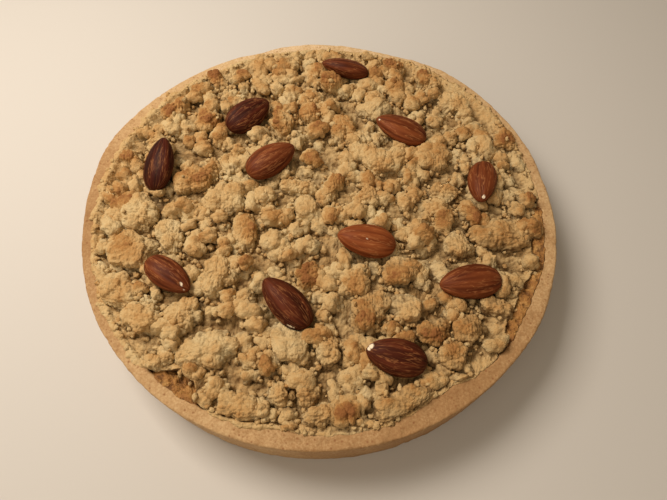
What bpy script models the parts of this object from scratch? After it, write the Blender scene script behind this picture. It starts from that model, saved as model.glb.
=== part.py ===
"""Pear and almond tart, 200 mm across.

A ring-baked shortcrust case with a flat-cut rim holds an almond cream filling. A heap of
crumble covers it, level with the rim at its edge and a little higher in the middle, and
eleven whole almonds lie in the crumble. Sizes are in metres, +Z is up, and the origin is
the middle of the tart's box on the face that it rests on.
"""
import math
import random

import bmesh
import bpy
import numpy as np
from mathutils import Matrix, Vector
from mathutils.bvhtree import BVHTree

MM = 0.001
GAP = 0.3 * MM

# The case
OUTER_RADIUS = 99.9 * MM
RIM_HEIGHT = 25 * MM
RIM_WIDTH = 5.3 * MM
FLOOR = 4 * MM
OUTER_DRAFT = 0.2 * MM
INNER_DRAFT = 1.6 * MM
EDGE_ROUND = 0.9 * MM
SEGMENTS = 72

# Swells of the hand-lined case round its plan: middle and half width in degrees, amount
OUTLINE_SWELLS = (
    (160, 16, 3.0 * MM), (136, 12, 0.6 * MM), (109, 6, -1.1 * MM), (73, 10, -1.3 * MM),
    (50, 10, 1.2 * MM), (6, 9, -0.6 * MM), (-32, 8, 0.7 * MM), (-138, 9, -0.3 * MM),
)
INNER_SWELLS = ((-61, 9, -3.2 * MM), (-99, 7, -1.7 * MM), (-30, 9, -0.8 * MM), (5, 12, -0.6 * MM))
RIM_WAVES = ((155, 25, 0.6 * MM), (70, 20, -0.4 * MM), (-70, 25, 0.3 * MM), (-150, 20, -0.3 * MM))

# The filling, which shows at the rim where the crumble leaves it bare
FILLING_TOP = 20.5 * MM
BARE_PATCHES = (
    (-123, 5, 8 * MM), (-37, 6, 4 * MM), (-27, 6, 4.5 * MM), (-14, 6, 5 * MM), (-4, 4, 4 * MM),
)

# The crumble's bare core, domed towards the middle
CORE_BOTTOM = FILLING_TOP + GAP
CORE_EDGE_TOP = 23.2 * MM
CORE_DOME = 1.5 * MM

# The largest clumps: place, length and width in millimetres, and turn in degrees
CLUMPS = (
    (-54, 12, 22, 13, 15), (-76, -5, 19, 16, 95), (-40, 2, 21, 15, 10), (-77, -23, 22, 18, 20),
    (-62, -15, 20, 11, 100), (-31, -15, 18, 11, 95), (-40, -34, 20, 15, 60), (-79, -41, 20, 16, -40),
    (-67, -52, 18, 15, -25), (-51, -50, 14, 13, 0), (-40, -65, 23, 15, 5), (-60, -69, 16, 8, 15),
    (-11, -62, 18, 16, 0), (4, -65, 12, 10, 80), (19, -50, 20, 14, 65), (-4, -35, 12, 12, 0),
    (15, -37, 15, 13, 80), (33, -33, 17, 15, 30), (-14, -81, 9, 9, 0), (-4, -81, 9, 9, 0),
    (-28, -85, 19, 10, -15), (2, -88, 14, 9, 0), (31, -84, 24, 12, 22), (43, -58, 14, 12, 20),
    (57, -57, 14, 12, 50), (68, -48, 13, 9, -20), (74, -16.5, 25, 16, -10), (57, -22, 14, 13, 0),
    (53, 4, 13, 12, 0), (50, 24, 19, 17, 90), (84, 34, 13, 11, 112), (25, 53, 17, 13, 0),
    (5, 68, 13, 10, -35), (10, 41, 17, 14, 100), (29, 22, 20, 16, 25), (-5, -4, 17, 12, 100),
    (-52, 74, 13, 9, 125), (-70, 55, 16, 12, 52), (-53, 47, 15, 13, 90), (36.5, 82, 13, 10, -24),
    (53, 73, 15, 12, -36), (64, 57, 16, 13, 140), (-86, 25, 13, 10, 73), (-18, 44, 17, 11, 100),
    (-5, 51, 14, 12, 30), (-9, 8, 17, 9, -15), (5, 7, 19, 9, 60), (20, 2, 14, 12, 0),
    (34, -49, 14, 13, 0), (50, -67, 13, 12, 40),
)
CLUMP_SWELL = 1.18
CLUMP_RISE = 8.2 * MM
CLUMP_LOBES = 16
SMALL_HALF_WIDTH = 6.6 * MM

# The smaller lumps that fill the room between them, largest first, at spots on a spiral
LUMP_SIZES = (17 * MM, 15 * MM, 13 * MM, 11.5 * MM)
LUMP_SPACING = 0.62
LUMP_RISE = 5.4 * MM
LUMP_LOBES = 7
SPOT_COUNT = 700
GOLDEN_ANGLE = math.pi * (3 - math.sqrt(5))
SEED = 11

# Each clump is a knot of balls, as shares of its size: how far out they sit, their radii and
# the least reach of its skin
LOBE_DISTANCE = (0.5, 0.66)
LOBE_RADIUS = (0.38, 0.5)
LEAST_REACH = 0.8

# How a clump's skin is drawn in where it would cross the wall or an almond
WALL_CLEARANCE = 0.5 * MM
ALMOND_CLEARANCE = 0.8 * MM
DRAW_IN = 0.9
DRAW_IN_STEPS = 24
UNDERSIDE_RAISE = (0.4 * MM, 0.9 * MM)

# Whole almonds: place of the middle in millimetres, heading of the tip, tilt of the tip
# upwards and roll in degrees, length in millimetres, and width as a share of the length
ALMONDS = (
    (12, 77.3, 167, 6, 30, 23.5, 0.51),
    (-33.5, 46.8, 40, 5, 17, 23.5, 0.61),
    (-70.2, 17.8, 86, 12, -21, 25.5, 0.55),
    (-21.5, 20.3, 37, 3, 6, 24.5, 0.60),
    (37, 37.3, 157, 9, 8, 24.5, 0.58),
    (70.2, 8.5, -100, 3, 16, 22, 0.56),
    (19.2, -20.9, 170, 7, -8, 24, 0.57),
    (58.8, -39, -173, 1, -8, 24.5, 0.57),
    (-58.8, -35.3, -36, 1, 0, 22.8, 0.52),
    (-12, -47.5, 134, 8, 5, 25, 0.54),
    (28.4, -68.4, 168, 7, -14, 22.6, 0.60),
)
ALMOND_THICKNESS = 0.37
ALMOND_RINGS = 8
ALMOND_SIDES = 12
ALMOND_MARGIN = 1.05


def swell(angle, swells):
    """Sum of smooth bumps round the plan, each a bell curve about its middle angle."""
    total = 0.0
    for middle, width, amount in swells:
        away = (np.degrees(angle) - middle + 180) % 360 - 180
        total = total + amount * np.exp(-((away / width) ** 2))
    return total


def outline(angle):
    """Radius of the rim's outer edge."""
    return OUTER_RADIUS + swell(angle, OUTLINE_SWELLS)


def inner_edge(angle):
    """Radius of the rim's inner edge."""
    return OUTER_RADIUS - RIM_WIDTH + swell(angle, INNER_SWELLS)


def inner_wall(angle, height):
    """Radius of the case's inner wall, which closes in towards the floor."""
    return inner_edge(angle) - INNER_DRAFT * (RIM_HEIGHT - height) / (RIM_HEIGHT - FLOOR)


def core_top(x, y):
    """Height of the crumble's bare core: a low dome."""
    share = (x * x + y * y) / OUTER_RADIUS ** 2
    return CORE_EDGE_TOP + CORE_DOME * (1 - share)


def plan_middle():
    """Middle of the outline's box, which becomes the origin."""
    angles = np.linspace(0, 2 * math.pi, SEGMENTS, endpoint=False)
    x, y = outline(angles) * np.cos(angles), outline(angles) * np.sin(angles)
    return Vector(((x.min() + x.max()) / 2, (y.min() + y.max()) / 2, 0))


def finish(name, colour, roughness):
    """A Principled material of one colour."""
    material = bpy.data.materials.new(name)
    material.use_nodes = True
    shader = material.node_tree.nodes["Principled BSDF"]
    shader.inputs["Base Color"].default_value = (*colour, 1)
    shader.inputs["Roughness"].default_value = roughness
    shader.inputs["Metallic"].default_value = 0
    return material


def new_object(name, points, faces, material=None, collection=None):
    """A mesh object from points and faces."""
    mesh = bpy.data.meshes.new(name)
    mesh.from_pydata([tuple(point) for point in points], [], faces)
    if material:
        mesh.materials.append(material)
    item = bpy.data.objects.new(name, mesh)
    (collection or bpy.context.scene.collection).objects.link(item)
    return item


def turned(name, profile, material):
    """A closed turned body whose radii vary round it. profile(angle) lists radius and height
    from the middle of the base outwards, up and over to the middle of the top."""
    columns = [profile(2 * math.pi * k / SEGMENTS) for k in range(SEGMENTS)]
    base_height, top_height = columns[0][0][1], columns[0][-1][1]
    rings = len(columns[0]) - 2
    points = []
    for k, column in enumerate(columns):
        angle = 2 * math.pi * k / SEGMENTS
        for radius, height in column[1:-1]:
            points.append((radius * math.cos(angle), radius * math.sin(angle), height))
    base, top = len(points), len(points) + 1
    points += [(0, 0, base_height), (0, 0, top_height)]
    faces = []
    for k in range(SEGMENTS):
        here, there = k * rings, (k + 1) % SEGMENTS * rings
        for ring in range(rings - 1):
            faces.append((here + ring, there + ring, there + ring + 1, here + ring + 1))
        faces.append((base, there, here))
        faces.append((top, here + rings - 1, there + rings - 1))
    item = new_object(name, points, faces, material)
    item.data.shade_smooth()
    item.data.set_sharp_from_angle(angle=math.radians(50))
    return item


def case_profile(angle):
    """The case: flat base, nearly upright outer wall, flat rim, inner wall and floor."""
    outer, inner = outline(angle), inner_edge(angle)
    foot = outer - OUTER_DRAFT
    rim = RIM_HEIGHT + swell(angle, RIM_WAVES)
    corner = EDGE_ROUND * (1 - math.sqrt(0.5))
    return [
        (0, 0), (foot - EDGE_ROUND, 0), (foot, EDGE_ROUND),
        (outer, rim - EDGE_ROUND), (outer - corner, rim - corner), (outer - EDGE_ROUND, rim),
        (inner + EDGE_ROUND, rim), (inner + corner, rim - corner), (inner, rim - EDGE_ROUND),
        (inner_wall(angle, FLOOR), FLOOR), (0, FLOOR),
    ]


def filling_profile(angle):
    """The filling: it fills the case from the floor up, a gap clear of the wall."""
    bottom = FLOOR + GAP
    return [
        (0, bottom), (inner_wall(angle, bottom) - GAP, bottom),
        (inner_wall(angle, FILLING_TOP) - GAP, FILLING_TOP), (0, FILLING_TOP),
    ]


def core_edge(angle):
    """Radius of the crumble's core: it stops short of the wall where the filling is bare."""
    return inner_wall(angle, CORE_BOTTOM) - GAP - swell(angle, BARE_PATCHES)


def core_profile(angle):
    """The crumble's bare core: a thin dome with one ring half way out."""
    edge = core_edge(angle)
    middle = edge / 2
    return [
        (0, CORE_BOTTOM), (edge, CORE_BOTTOM), (edge, core_top(edge, 0)),
        (middle, core_top(middle, 0)), (0, core_top(0, 0)),
    ]


def almond_share(along):
    """Half width of an almond along its length, 0 at the round end and 1 at the tip, as a
    share of its greatest: a blunt round end and a longer, narrower one."""
    along = np.clip(along, 0, 1)
    return along ** 0.46 * (1 - along) ** 0.62 / 0.4787


def almond_mesh(length, width):
    """Points and faces of one almond on its own axes, tip towards +X."""
    points = [(-length / 2, 0, 0)]
    for ring in range(1, ALMOND_RINGS + 1):
        along = (1 - math.cos(math.pi * ring / (ALMOND_RINGS + 1))) / 2
        share = float(almond_share(along))
        for side in range(ALMOND_SIDES):
            angle = 2 * math.pi * side / ALMOND_SIDES
            points.append((
                (along - 0.5) * length,
                share * length * width / 2 * math.cos(angle),
                share * length * ALMOND_THICKNESS / 2 * math.sin(angle),
            ))
    points.append((length / 2, 0, 0))
    faces = []
    for side in range(ALMOND_SIDES):
        after = (side + 1) % ALMOND_SIDES
        faces.append((0, 1 + after, 1 + side))
        for ring in range(ALMOND_RINGS - 1):
            here, there = 1 + ring * ALMOND_SIDES, 1 + (ring + 1) * ALMOND_SIDES
            faces.append((here + side, here + after, there + after, there + side))
        last = 1 + (ALMOND_RINGS - 1) * ALMOND_SIDES
        faces.append((last + side, last + after, len(points) - 1))
    return points, faces


def almond_matrix(row, points):
    """Where an almond lies: turned, tilted and rolled, then lowered to the bare core."""
    x, y, heading, tilt, roll, _, _ = row
    turn = Matrix.Rotation(math.radians(heading), 4, "Z")
    lean = Matrix.Rotation(-math.radians(tilt), 4, "Y")
    spin = Matrix.Rotation(math.radians(roll), 4, "X")
    place = Matrix.Translation((x * MM, y * MM, 0)) @ turn @ lean @ spin
    placed = [place @ Vector(point) for point in points]
    clearance = min(point.z - core_top(point.x, point.y) for point in placed)
    return Matrix.Translation((0, 0, GAP - clearance)) @ place


def covered_by_almond(places, matrix, length, width):
    """Which points lie in an almond or above it, with the clearance all round."""
    local = (places - np.array(matrix.translation)) @ np.array(matrix.to_3x3())
    reach = length / 2 + ALMOND_CLEARANCE
    along = (local[:, 0] + reach) / (2 * reach)
    share = almond_share(along)
    half_width = share * length * width / 2 + ALMOND_CLEARANCE
    half_depth = share * length * ALMOND_THICKNESS / 2 + ALMOND_CLEARANCE
    across = np.abs(local[:, 1]) / half_width
    under = -half_depth * np.sqrt(np.maximum(1 - across ** 2, 0))
    inside = (along > 0) & (along < 1) & (across < 1)
    return inside & (local[:, 2] > under)


def ball_skin(level):
    """Directions and faces of an even ball of triangles."""
    ball = bmesh.new()
    bmesh.ops.create_icosphere(ball, subdivisions=level, radius=1.0)
    directions = np.array([tuple(vertex.co) for vertex in ball.verts])
    faces = [tuple(vertex.index for vertex in face.verts) for face in ball.faces]
    ball.free()
    return directions, faces


def lobes_for(rng, count):
    """The balls that have grown together into a clump of unit size: centres and radii."""
    centres, radii = [], []
    for _ in range(count):
        way = Vector((rng.gauss(0, 1), rng.gauss(0, 1), rng.gauss(0, 0.8))).normalized()
        centres.append(way * rng.uniform(*LOBE_DISTANCE))
        radii.append(rng.uniform(*LOBE_RADIUS))
    return np.array([tuple(centre) for centre in centres]), np.array(radii)


def lobed_reach(directions, centres, radii):
    """How far a clump's skin lies from its middle along each direction: the furthest point
    where the ray leaves one of its balls, and never less than a core ball."""
    along = directions @ centres.T
    inside = radii ** 2 - (centres ** 2).sum(axis=1) + along ** 2
    reach = np.where(inside > 0, along + np.sqrt(np.maximum(inside, 0)), 0)
    return np.maximum(reach.max(axis=1), LEAST_REACH)


def clump_rows():
    """Every clump as middle x and y, half length, half width, turn, rise and lobe count:
    the named large ones first, then lumps wherever a spot on the spiral leaves room."""
    rows = []
    for x, y, length, width, turn in CLUMPS:
        rise = CLUMP_RISE * min(1.0, 0.55 + width / 36)
        half_length, half_width = length * MM / 2 * CLUMP_SWELL, width * MM / 2 * CLUMP_SWELL
        rows.append((x * MM, y * MM, half_length, half_width, math.radians(turn), rise, CLUMP_LOBES))
    rng = random.Random(SEED)
    field = OUTER_RADIUS - RIM_WIDTH
    spots = list(range(SPOT_COUNT))
    rng.shuffle(spots)
    for size in LUMP_SIZES:
        for spot in spots:
            radius = (field - size / 4) * math.sqrt((spot + 0.5) / SPOT_COUNT)
            x, y = radius * math.cos(spot * GOLDEN_ANGLE), radius * math.sin(spot * GOLDEN_ANGLE)
            if any(
                math.hypot(x - other[0], y - other[1])
                < LUMP_SPACING * (size / 2 + (other[2] + other[3]) / 2)
                for other in rows
            ):
                continue
            width = size * rng.uniform(0.85, 1)
            rise = LUMP_RISE * rng.uniform(0.7, 1.15)
            rows.append((x, y, size / 2, width / 2, rng.uniform(0, math.pi), rise, LUMP_LOBES))
    return rows


def shaped_clump(index, row, directions, almonds):
    """Points of one clump where it lies, drawn in clear of the wall and the almonds, or None
    if its middle is under an almond."""
    x, y, half_length, half_width, turn, rise, lobe_count = row
    rng = random.Random(1000 + index)
    centres, radii = lobes_for(rng, lobe_count)
    offsets = directions * lobed_reach(directions, centres, radii)[:, None]
    offsets = offsets * (half_length, half_width, rise)
    cosine, sine = math.cos(turn), math.sin(turn)
    offsets = offsets @ np.array(((cosine, sine, 0), (-sine, cosine, 0), (0, 0, 1)))
    middle = np.array((x, y, core_top(x, y)))
    reach = np.ones(len(offsets))
    for _ in range(DRAW_IN_STEPS):
        places = middle + offsets * reach[:, None]
        blocked = np.zeros(len(offsets), bool)
        for almond in almonds:
            blocked |= covered_by_almond(places, *almond)
        angles = np.arctan2(places[:, 1], places[:, 0])
        limit = inner_wall(angles, CORE_BOTTOM) - WALL_CLEARANCE - swell(angles, BARE_PATCHES) / 2
        blocked |= np.hypot(places[:, 0], places[:, 1]) > limit
        if not blocked.any():
            break
        reach[blocked] *= DRAW_IN
    else:
        return None
    places[:, 2] = np.maximum(places[:, 2], CORE_BOTTOM + rng.uniform(*UNDERSIDE_RAISE))
    return places


def keep_largest_body(item):
    """Leave only the largest joined body, so that no scrap and no sealed hollow stays."""
    shape = bmesh.new()
    shape.from_mesh(item.data)
    unseen = set(shape.verts)
    bodies = []
    while unseen:
        body, front = set(), [unseen.pop()]
        while front:
            vertex = front.pop()
            body.add(vertex)
            for edge in vertex.link_edges:
                other = edge.other_vert(vertex)
                if other in unseen:
                    unseen.discard(other)
                    front.append(other)
        bodies.append(body)
    bodies.sort(key=len, reverse=True)
    for body in bodies[1:]:
        bmesh.ops.delete(shape, geom=list(body), context="VERTS")
    bmesh.ops.triangulate(shape, faces=shape.faces)
    shape.to_mesh(item.data)
    shape.free()


def crumble(material, almonds, keep_clear):
    """The crumble: clumps fused on the bare core by one union on their collection."""
    core = turned("crumble", core_profile, material)
    heap = bpy.data.collections.new("clumps")
    bpy.context.scene.collection.children.link(heap)
    fine_skin, plain_skin = ball_skin(2), ball_skin(1)
    for index, row in enumerate(clump_rows()):
        fine = index < len(CLUMPS) and row[3] > SMALL_HALF_WIDTH
        directions, faces = fine_skin if fine else plain_skin
        places = shaped_clump(index, row, directions, almonds)
        if places is None:
            continue
        tree = BVHTree.FromPolygons([tuple(place) for place in places], faces)
        if any(tree.overlap(almond) for almond in keep_clear):
            continue
        new_object(f"clump_{index}", places, faces, collection=heap)
    fuse = core.modifiers.new("fuse", "BOOLEAN")
    fuse.operation = "UNION"
    fuse.operand_type = "COLLECTION"
    fuse.collection = heap
    fuse.solver = "EXACT"
    evaluated = core.evaluated_get(bpy.context.evaluated_depsgraph_get())
    fused = bpy.data.meshes.new_from_object(evaluated)
    core.modifiers.clear()
    core.data = fused
    for item in list(heap.objects):
        bpy.data.objects.remove(item, do_unlink=True)
    bpy.data.collections.remove(heap)
    keep_largest_body(core)
    core.data.shade_smooth()
    core.data.set_sharp_from_angle(angle=math.radians(30))
    return core


def build():
    for item in list(bpy.data.objects):
        bpy.data.objects.remove(item, do_unlink=True)
    crust = finish("baked_shortcrust", (0.60, 0.38, 0.19), 0.85)
    cream = finish("browned_almond_cream", (0.42, 0.20, 0.07), 0.8)
    crumbs = finish("baked_crumble", (0.56, 0.36, 0.15), 0.9)
    skin = finish("almond_skin", (0.20, 0.06, 0.025), 0.45)
    turned("pastry_case", case_profile, crust)
    turned("filling", filling_profile, cream)
    almonds, keep_clear = [], []
    for number, row in enumerate(ALMONDS, start=1):
        length, width = row[5] * MM, row[6]
        points, faces = almond_mesh(length, width)
        item = new_object(f"almond_{number:02d}", points, faces, skin)
        item.matrix_world = almond_matrix(row, points)
        item.data.shade_smooth()
        almonds.append((item.matrix_world.copy(), length, width))
        placed = [item.matrix_world @ (Vector(point) * ALMOND_MARGIN) for point in points]
        keep_clear.append(BVHTree.FromPolygons([tuple(place) for place in placed], faces))
    crumble(crumbs, almonds, keep_clear)
    middle = plan_middle()
    for item in bpy.context.scene.collection.objects:
        item.location -= middle


build()
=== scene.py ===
"""Looks of the pear and almond tart.

Every piece is worked out as arrays of points in the tart's own frame: metres, +Z up, with the
origin in the middle of the base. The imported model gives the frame, and each piece here stands
for one of its nodes or for a share of one.
"""
import math
import random

import bpy
import numpy as np
from mathutils import Matrix, Vector


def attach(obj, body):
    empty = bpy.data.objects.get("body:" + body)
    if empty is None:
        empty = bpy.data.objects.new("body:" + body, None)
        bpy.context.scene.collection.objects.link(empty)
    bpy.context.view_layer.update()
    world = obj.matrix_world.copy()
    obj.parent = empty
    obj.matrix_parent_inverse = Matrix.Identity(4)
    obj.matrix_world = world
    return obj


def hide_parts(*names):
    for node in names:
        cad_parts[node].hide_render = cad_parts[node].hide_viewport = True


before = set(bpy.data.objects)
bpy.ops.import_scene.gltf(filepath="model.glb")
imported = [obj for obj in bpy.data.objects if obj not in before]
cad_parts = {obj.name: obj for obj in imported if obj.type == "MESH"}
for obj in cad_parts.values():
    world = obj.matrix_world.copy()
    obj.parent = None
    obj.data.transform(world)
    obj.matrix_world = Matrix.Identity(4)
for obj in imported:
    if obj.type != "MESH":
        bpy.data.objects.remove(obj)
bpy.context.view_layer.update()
MM = 0.001

# The pastry case
# Shortcrust rolled out, lined into a straight ring by hand and baked in it, so the side is smooth
# and nearly upright, and the rim is flat because it was trimmed level with the ring. The outline
# swells a little where the dough was pressed out by thumb.
OUTER_RADIUS = 99.9 * MM
RIM_HEIGHT = 25 * MM
RIM_WIDTH = 5.3 * MM
FLOOR = 4 * MM
OUTER_DRAFT = 0.2 * MM
INNER_DRAFT = 1.6 * MM
EDGE_ROUND = 0.9 * MM
# Bumps of the outer edge, of the inner edge and of the rim's height: middle and half width in
# degrees, and by how much
OUTLINE_SWELLS = (
    (160, 16, 3.0 * MM), (136, 12, 0.6 * MM), (109, 6, -1.1 * MM), (73, 10, -1.3 * MM),
    (50, 10, 1.2 * MM), (6, 9, -0.6 * MM), (-32, 8, 0.7 * MM), (-138, 9, -0.3 * MM),
)
INNER_SWELLS = ((-61, 9, -3.2 * MM), (-99, 7, -1.7 * MM), (-30, 9, -0.8 * MM), (5, 12, -0.6 * MM))
RIM_WAVES = ((155, 25, 0.6 * MM), (70, 20, -0.4 * MM), (-70, 25, 0.3 * MM), (-150, 20, -0.3 * MM))
# Stretches of the rim and its side painted paler or darker as light and shade: a painted highlight at
# the back, painted shade at the front right and at the left. Middle and half width in degrees, by how
# much
RIM_PAINTED_LIGHT = ((95, 36, 0.24), (-64, 32, -0.3), (187, 27, -0.3))
# Unevenness in layers of depth, size and salt: how the inner edge wanders, and the sandy skin
EDGE_WANDER = ((0.45 * MM, 4 * MM, 3), (0.3 * MM, 1.7 * MM, 4))
CRUST_RELIEF = ((0.16 * MM, 7 * MM, 11), (0.13 * MM, 2.6 * MM, 12), (0.1 * MM, 1.1 * MM, 13))
DIMPLE_SIZE, DIMPLE_START, DIMPLE_DEPTH = 3.1 * MM, 0.55, 1.6 * MM
EDGE_WEAR, EDGE_WEAR_SIZE = 0.35, 6 * MM
# Rings of points across the underside, as shares of its radius, and down the inner wall
UNDERSIDE_SHARES = (0.3, 0.6, 0.85)
WALL_DROPS = (2 * MM, 4 * MM, 8 * MM, 14 * MM, RIM_HEIGHT - FLOOR)
SIDE_RINGS, RIM_RINGS = 34, 11
OUTLINE_STEPS = 72
CASE_STEPS = 900


def swell(angle, swells):
    """Sum of smooth bumps round the plan, each a bell curve about its middle angle."""
    total = np.zeros(np.shape(angle))
    for middle, width, amount in swells:
        away = (np.degrees(angle) - middle + 180) % 360 - 180
        total = total + amount * np.exp(-((away / width) ** 2))
    return total


def outline(angle):
    """Radius of the rim's outer edge."""
    return OUTER_RADIUS + swell(angle, OUTLINE_SWELLS)


def inner_edge(angle):
    """Radius of the rim's inner edge."""
    return OUTER_RADIUS - RIM_WIDTH + swell(angle, INNER_SWELLS)


def inner_wall(angle, height):
    """Radius of the case's inner wall, which closes in towards the floor."""
    return inner_edge(angle) - INNER_DRAFT * (RIM_HEIGHT - height) / (RIM_HEIGHT - FLOOR)


def rim_top(angle):
    """Height of the rim."""
    return RIM_HEIGHT + swell(angle, RIM_WAVES)


steps = np.linspace(0, 2 * math.pi, OUTLINE_STEPS, endpoint=False)
outline_x, outline_y = outline(steps) * np.cos(steps), outline(steps) * np.sin(steps)
PLAN_MIDDLE = np.array([
    (outline_x.min() + outline_x.max()) / 2,
    (outline_y.min() + outline_y.max()) / 2,
    0,
])


def chance(cells, salt):
    """Random shares of 1 that depend only on whole-number cells: their coordinates are
    multiplied by large odd numbers, mixed and folded."""
    mixed = cells[..., 0] * 73856093 ^ cells[..., 1] * 19349663 ^ cells[..., 2] * 83492791
    mixed = (mixed ^ salt * 2654435761) & 0xFFFFFFFF
    mixed = (mixed ^ mixed >> 15) * 2246822519 & 0xFFFFFFFF
    mixed = (mixed ^ mixed >> 13) * 3266489917 & 0xFFFFFFFF
    return (mixed ^ mixed >> 16) / 0xFFFFFFFF


def wavy(places, size, salt):
    """Smooth unevenness from -1 to 1: random values at the corners of cubes of the given
    size, blended across each cube."""
    spots = places / size
    base = np.floor(spots).astype(np.int64)
    part = spots - base
    part = part * part * (3 - 2 * part)
    total = np.zeros(len(places))
    for corner in np.ndindex(2, 2, 2):
        weight = np.where(corner, part, 1 - part).prod(axis=1)
        total += weight * chance(base + corner, salt)
    return 2 * total - 1


def layered(places, layers):
    """Smooth unevenness added up from layers of depth, size and salt."""
    return sum(depth * wavy(places, size, salt) for depth, size, salt in layers)


def on_circle(angle):
    """Points of the circle of the outer radius at the given angles, as rows of x, y, z."""
    unit = np.stack([np.cos(angle), np.sin(angle), 0 * angle], axis=-1)
    return unit.reshape(-1, 3) * OUTER_RADIUS


def grains(places, size, salt):
    """Relief of packed grains as a share of their size: each cube of that size holds one
    ball near its middle, and the relief is how deep the place lies in the nearest ball."""
    spots = places / size
    base = np.floor(spots - 0.5).astype(np.int64)
    deepest = np.zeros(len(places))
    for corner in np.ndindex(2, 2, 2):
        cell = base + corner
        shift = np.stack([chance(cell, salt + axis) for axis in (1, 2, 3)], axis=1)
        middle = cell + 0.3 + 0.4 * shift
        radius = 0.45 + 0.33 * chance(cell, salt)
        deepest = np.maximum(deepest, radius ** 2 - ((spots - middle) ** 2).sum(axis=1))
    return np.sqrt(deepest)


def make_piece(name, surface, material):
    """A smooth-shaded mesh from a surface, moved to the frame's origin. The surface is its
    points, its triangles, and the shades or vectors that its points keep as attributes."""
    points, triangles, shades = surface
    mesh = bpy.data.meshes.new(name)
    placed = (points - PLAN_MIDDLE).astype(np.float32)
    mesh.vertices.add(len(placed))
    mesh.vertices.foreach_set("co", placed.ravel())
    mesh.loops.add(triangles.size)
    mesh.loops.foreach_set("vertex_index", triangles.astype(np.int32).ravel())
    mesh.polygons.add(len(triangles))
    mesh.polygons.foreach_set("loop_start", np.arange(0, triangles.size, 3, dtype=np.int32))
    mesh.update(calc_edges=True)
    for shade, values in shades.items():
        values = np.asarray(values, dtype=np.float32)
        kind, field = ("FLOAT", "value") if values.ndim == 1 else ("FLOAT_VECTOR", "vector")
        layer = mesh.attributes.new(shade, kind, "POINT")
        layer.data.foreach_set(field, values.ravel())
    mesh.shade_smooth()
    mesh.materials.append(material)
    piece = bpy.data.objects.new(name, mesh)
    bpy.context.scene.collection.objects.link(piece)
    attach(piece, "root")
    return piece


def linear(hex_colour):
    """An sRGB hex colour as linear red, green, blue and alpha."""
    shares = [int(hex_colour[k:k + 2], 16) / 255 for k in (1, 3, 5)]
    turned = [s / 12.92 if s <= 0.04045 else ((s + 0.055) / 1.055) ** 2.4 for s in shares]
    return (*turned, 1)


def link(tree, node, links):
    """Joins a node's inputs to sockets, or to the first output in use of other nodes."""
    for key, source in links.items():
        if isinstance(source, bpy.types.Node):
            source = next(output for output in source.outputs if output.enabled)
        tree.links.new(source, node.inputs[key])


def add(tree, kind, settings=None, links=None, stops=()):
    """Adds a shader node: settings go to its properties or, by socket name or number, to its
    inputs, and links as above. Stops are the places and sRGB hex colours of a colour ramp."""
    node = tree.nodes.new("ShaderNode" + kind)
    for key, value in (settings or {}).items():
        if isinstance(key, str) and hasattr(node, key):
            setattr(node, key, value)
        else:
            node.inputs[key].default_value = value
    link(tree, node, links or {})
    while stops and len(node.color_ramp.elements) < len(stops):
        node.color_ramp.elements.new(0.5)
    for number, (place, colour) in enumerate(stops):
        element = node.color_ramp.elements[number]
        element.position, element.color = place, linear(colour)
    return node


def new_material(name, roughness, specular=0.5):
    """A material with its gloss on its shader: itself, its tree, its shader, and the link that
    lays a pattern out on its Object coordinates."""
    material = bpy.data.materials.new(name)
    material.use_nodes = True
    tree = material.node_tree
    shader = tree.nodes["Principled BSDF"]
    shader.inputs["Roughness"].default_value = roughness
    shader.inputs["Specular IOR Level"].default_value = specular
    return material, tree, shader, {"Vector": add(tree, "TexCoord").outputs["Object"]}


# Baked shortcrust: butter, flour and ground almond, matte and sandy. The colour is a pale biscuit
# tan with cloudy patches 12 mm wide and brown specks of almond skin under 1 mm across.
CRUST_CLOUD = 12 * MM
CRUST_MOTTLE = 2.2 * MM
CRUST_SPECK = 2.0 * MM
CRUST_GRAIN = 0.9 * MM
CRUST_SAND, CRUST_SAND_DEPTH = 0.55 * MM, 0.25 * MM
CRUST_TANS = (
    (0.0, "#966D43"), (0.3, "#AB8457"), (0.5, "#C09C6E"), (0.66, "#CBAB7C"), (0.9, "#E0C5A0"),
)
CLOUD_SHARE, MOTTLE_SHARE, GRAIN_SHARE, TAN_SHIFT = 0.45, 0.3, 0.8, -0.275
SPECK_CORE, SPECK_EDGE, SPECKLESS_SHARE, SPECK_STRENGTH = 0.12, 0.26, 0.4, 0.7


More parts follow.
